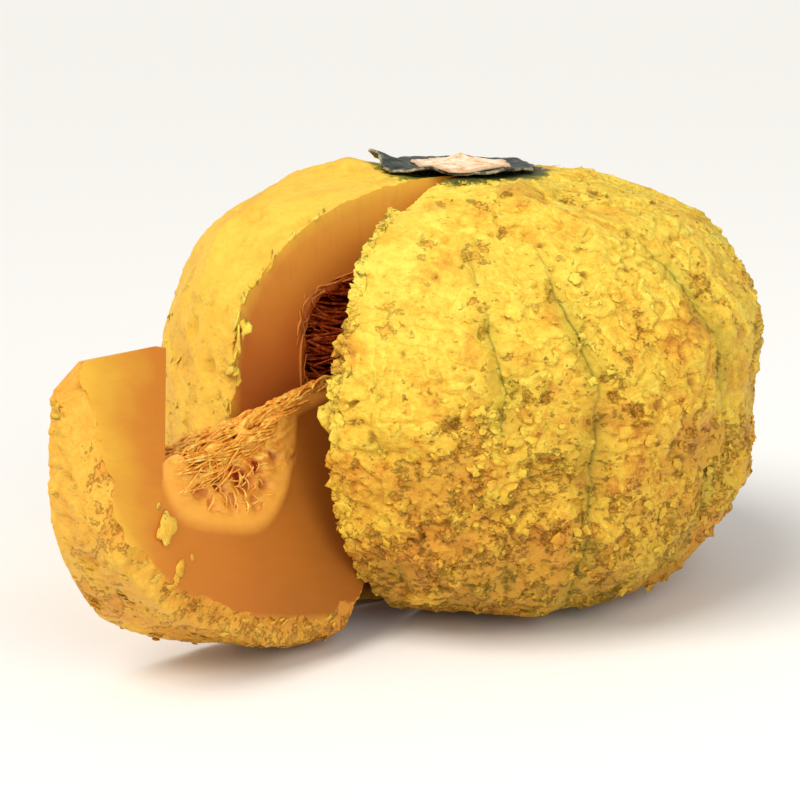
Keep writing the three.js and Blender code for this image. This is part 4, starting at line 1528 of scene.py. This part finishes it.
def skin_reach(z):
    """How far out the smooth skin is, about level with z."""
    return abs(on_ball(np.array([[0.0, -80.0, z]]), SQUASH)[0][1])


def body_scraps():
    """Flakes and grains all over the pared squash."""
    draw = Random(23)
    smooth, seat, outward, torn = scatter(7600, 21)
    across = np.hypot(smooth[:, 0], smooth[:, 1])
    low = smooth[:, 2] < EQUATOR_Z
    clear = (smooth[:, 2] > 7) & (low | ((collar(smooth) < 0.75) & (across > CAP_RADIUS + 1)))
    clear &= ~in_gap(smooth, NOTCH_HALF_ANGLE, 0.5)
    clear &= (across > CAP_RADIUS + 9) | low | (smooth[:, 0] > smooth[:, 1])  # none close behind the disc
    rougher = clamp01(0.5 + smooth_field(smooth, 22, 481) + (60 - smooth[:, 2]) / 90)
    flakes, crumbs = [], []
    for n in range(len(seat)):
        chance, kind = draw.random(), draw.random()
        if not clear[n] or chance > torn[n] * rougher[n]:
            continue
        normal = Vector(outward[n])
        if kind < 0.62:
            size = draw.uniform(1.3, 4.4) * draw.uniform(0.6, 1.0)
            aside = Vector((draw.gauss(0, 1), draw.gauss(0, 1), 0))
            lift = (Vector((0, 0, -1)) + 0.6 * aside).normalized()
            at = Vector(seat[n]) * MM + normal * 0.02 * size * MM
            flakes.append((flake, at, normal, lift, size * MM, draw))
        else:
            size = draw.uniform(0.6, 1.4)
            crumbs.append((crumb, Vector(seat[n]) * MM + normal * 0.15 * size * MM, size * MM, draw))
    pieces = [gathered("torn_scraps", flakes), gathered("flesh_crumbs", crumbs)]
    for piece in pieces:
        dress_scraps(piece, points_of(piece.data))
    return pieces


LARGE_FLAKES = (  # cut face, level, how far it hangs over the notch, and size
    (-1, 88.0, 2.6, 8.5),
    (-1, 85.0, 1.6, 7.0),
    (-1, 80.5, 1.0, 6.5),
    (-1, 76.0, 0.9, 4.5),
    (1, 68.0, 2.7, 7.0),
    (1, 71.0, 1.2, 5.0),
    (1, 124.5, 0.2, 3.6),
    (1, 122.5, 0.2, 3.2),
    (-1, 124.0, 0.4, 4.0),
    (-1, 122.0, 0.3, 3.5),
    (1, 126.3, 0.6, 4.5),
    (1, 126.7, 1.0, 4.5),
)
STUCK_LUMPS = (  # out from the notch's edge, level and size of each, on the wedge's near cut face
    (49, 98, 9.5),
    (59, 94.5, 5.0),
    (62, 96, 3.0),
    (56, 90, 2.0),
    (43, 100, 1.8),
)


def edge_scraps():
    """Flakes that hang over the notch along the outer edges of its two cut faces."""
    draw = Random(31)
    spots, hang = [], []
    for n in range(360):
        side = 1 if n % 3 else -1
        z = draw.uniform(15, 121)
        over = 1.0 if side == 1 and 34 < z < 89 else 0.2
        point = on_notch_face(skin_reach(z), z, side, 0)
        if point and (side == 1 or n % 2):
            spots.append(point)
            hang.append((side, over * draw.uniform(0.2, 1.3), draw.uniform(1.8, 5.0)))
    for side, z, over, size in LARGE_FLAKES:
        spots.append(on_notch_face(skin_reach(z) - 0.6, z, side, 0))
        hang.append((side, over, size))
    _, seat, outward, _ = seats(np.array(spots))
    lean = math.radians(NOTCH_HALF_ANGLE)
    scraps = []
    for n, (side, over, size) in enumerate(hang):
        normal = Vector(outward[n])
        inward = Vector((-side * math.cos(lean), -math.sin(lean), 0))
        at = Vector(seat[n]) * MM - normal * 0.3 * MM + inward * (over * 2.2 - 0.15 * size) * MM
        lift = (inward + Vector((0, 0, -0.4))).normalized()
        scraps.append((flake, at, normal, lift, size * MM, draw))
    piece = gathered("edge_scraps", scraps)
    dress_scraps(piece, points_of(piece.data))
    return piece


def wedge_scraps(rest):
    """Flakes over the wedge's pared side and along the corner of its near cut face."""
    draw = Random(41)
    smooth, seat, outward, _ = scatter(6000, 43)
    clear = in_gap(smooth, WEDGE_HALF_ANGLE, -1.0) & (above_slant(smooth, STEM_CUT) < -2)
    clear &= above_slant(smooth, BASE_CUT) > 3
    lean = math.radians(WEDGE_HALF_ANGLE)
    face = Vector((math.cos(lean), math.sin(lean), 0))
    scraps = []
    for n in np.flatnonzero(clear):
        resting = moved(seat[n : n + 1], rest)[0][2] < 3
        inward = -off_cut(smooth[n : n + 1], WEDGE_HALF_ANGLE, 1)[0]
        if resting or inward < 5 or draw.random() < 0.55:
            continue
        size = draw.uniform(1.2, 3.2)
        lift = (Vector((0.5, 0, 1)) + 0.5 * Vector((draw.gauss(0, 1), 0, draw.gauss(0, 1)))).normalized()
        scraps.append((flake, Vector(seat[n]) * MM, Vector(outward[n]), lift, size * MM, draw))
    for _ in range(36):
        z = draw.uniform(40, 110)
        out = math.sqrt(max(0, skin_reach(z) ** 2 - 100)) - 13 - draw.uniform(2.5, 5.5)
        point = on_wedge_face(out, z, 1, draw.uniform(-0.4, 0.0))
        if moved(np.array([point]), rest)[0][2] < 3:
            continue
        normal = (face * 0.8 + Vector((0, -1, 0)) * 0.6).normalized()
        lift = Vector((0, 1, 0.3)).normalized()
        scraps.append((flake, Vector(point) * MM, normal, lift, draw.uniform(1.2, 2.8) * MM, draw))
    for out, z, size in STUCK_LUMPS:
        at = Vector(on_wedge_face(out, z, 1, 0.05 * size)) * MM
        scraps.append((clot, at, face, size * MM, draw))
    piece = gathered("wedge_scraps", scraps)
    grown = points_of(piece.data)
    dress_scraps(piece, grown)
    piece.data.attributes["green"].data.foreach_set("value", [0.0] * len(grown))
    piece.data.attributes["near_cut"].data.foreach_set("value", [0.6] * len(grown))
    set_points(piece.data, moved(grown, rest))
    return piece


# ---- Assembly -----------------------------------------------------------------------------------

squash, wedge, wedge_rest = make_flesh()

for piece, slot, nodes in (
    (squash, "pared_flesh", ("squash_flesh",)),
    *((piece, "pared_flesh", ()) for piece in (*body_scraps(), edge_scraps())),
    (wedge, "wedge_flesh", ("wedge_flesh",)),
    (wedge_scraps(wedge_rest), "wedge_flesh", ()),
    (cavity_lining(), "cavity_pulp", ("squash_pulp",)),
    (cavity_strands(), "cavity_pulp", ()),
    (window_strands(), "cavity_pulp", ()),
    (rim_strands(), "cavity_pulp", ()),
    (wedge_pulp(wedge_rest), "wedge_pulp", ("wedge_pulp",)),
    (wedge_strands(wedge_rest), "wedge_pulp", ()),
    (rind_disc(), "rind", ("rind_cap",)),
    (rind_wisp(), "corky_scar", ()),
    (stem_scar(), "corky_scar", ("stem_scar",)),
):
    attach(piece, "root")
    if nodes:
        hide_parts(*nodes)


# ---- Studio -------------------------------------------------------------------------------------


def pale_floor():
    """Plain matt white board."""
    material, tree = new_material("matt_white_board")
    finish(tree, {"Base Color": hue("#f4f4f2"), "Roughness": 0.8})
    bm = bmesh.new()
    bmesh.ops.create_grid(bm, x_segments=1, y_segments=1, size=20.0)
    floor = new_piece("floor", bm, [material])


def lamp(name, kind, at, strength, colour, **settings):
    """A light at a place, aimed at the object."""
    data = bpy.data.lights.new(name, kind)
    data.energy = strength
    data.color = hue(colour)[:3]
    for setting, value in settings.items():
        setattr(data, setting, value)
    holder = bpy.data.objects.new(name, data)
    bpy.context.scene.collection.objects.link(holder)
    holder.location = at
    aim = Vector((0, -0.02, 0.06)) - holder.location
    holder.rotation_euler = aim.to_track_quat("-Z", "Y").to_euler()


def studio():
    """A pale floor in white surroundings, with a broad sun in front and a soft fill on the right."""
    pale_floor()
    world = bpy.data.worlds.new("studio")
    bpy.context.scene.world = world
    world.use_nodes = True
    background = world.node_tree.nodes["Background"]
    background.inputs["Color"].default_value = hue("#ffffff")
    background.inputs["Strength"].default_value = 0.46
    lamp("key", "SUN", (-0.1, -0.95, 1.3), 2.35, "#fffaf2", angle=math.radians(38))
    lamp("fill", "AREA", (0.9, -0.35, 0.6), 4.2, "#ffffff", shape="DISK", size=0.8)
    bpy.context.scene.view_settings.view_transform = "Standard"


def camera():
    """Looks down a little, from well to the right of the notch."""
    azimuth = math.radians(42)
    elevation = math.radians(12)
    distance = 620  # mm, from the point that it is aimed at
    frame_pixels = 800
    pixels_per_mm = 3.22  # at that point
    width = frame_pixels / pixels_per_mm  # mm, of what the frame takes in there
    aim_right, aim_up = -18.25, 54.9  # mm, of that point
    right = Vector((math.cos(azimuth), math.sin(azimuth), 0))
    target = right * aim_right * MM + Vector((0, 0, aim_up * MM))
    ahead = Vector((-math.sin(azimuth), math.cos(azimuth), 0))
    back = ahead * -math.cos(elevation) + Vector((0, 0, math.sin(elevation)))
    data = bpy.data.cameras.new("camera")
    data.sensor_width = 36
    data.lens = data.sensor_width * distance / width
    holder = bpy.data.objects.new("camera", data)
    bpy.context.scene.collection.objects.link(holder)
    holder.location = target + back * distance * MM
    holder.rotation_euler = (-back).to_track_quat("-Z", "Y").to_euler()
    bpy.context.scene.camera = holder


studio()
camera()
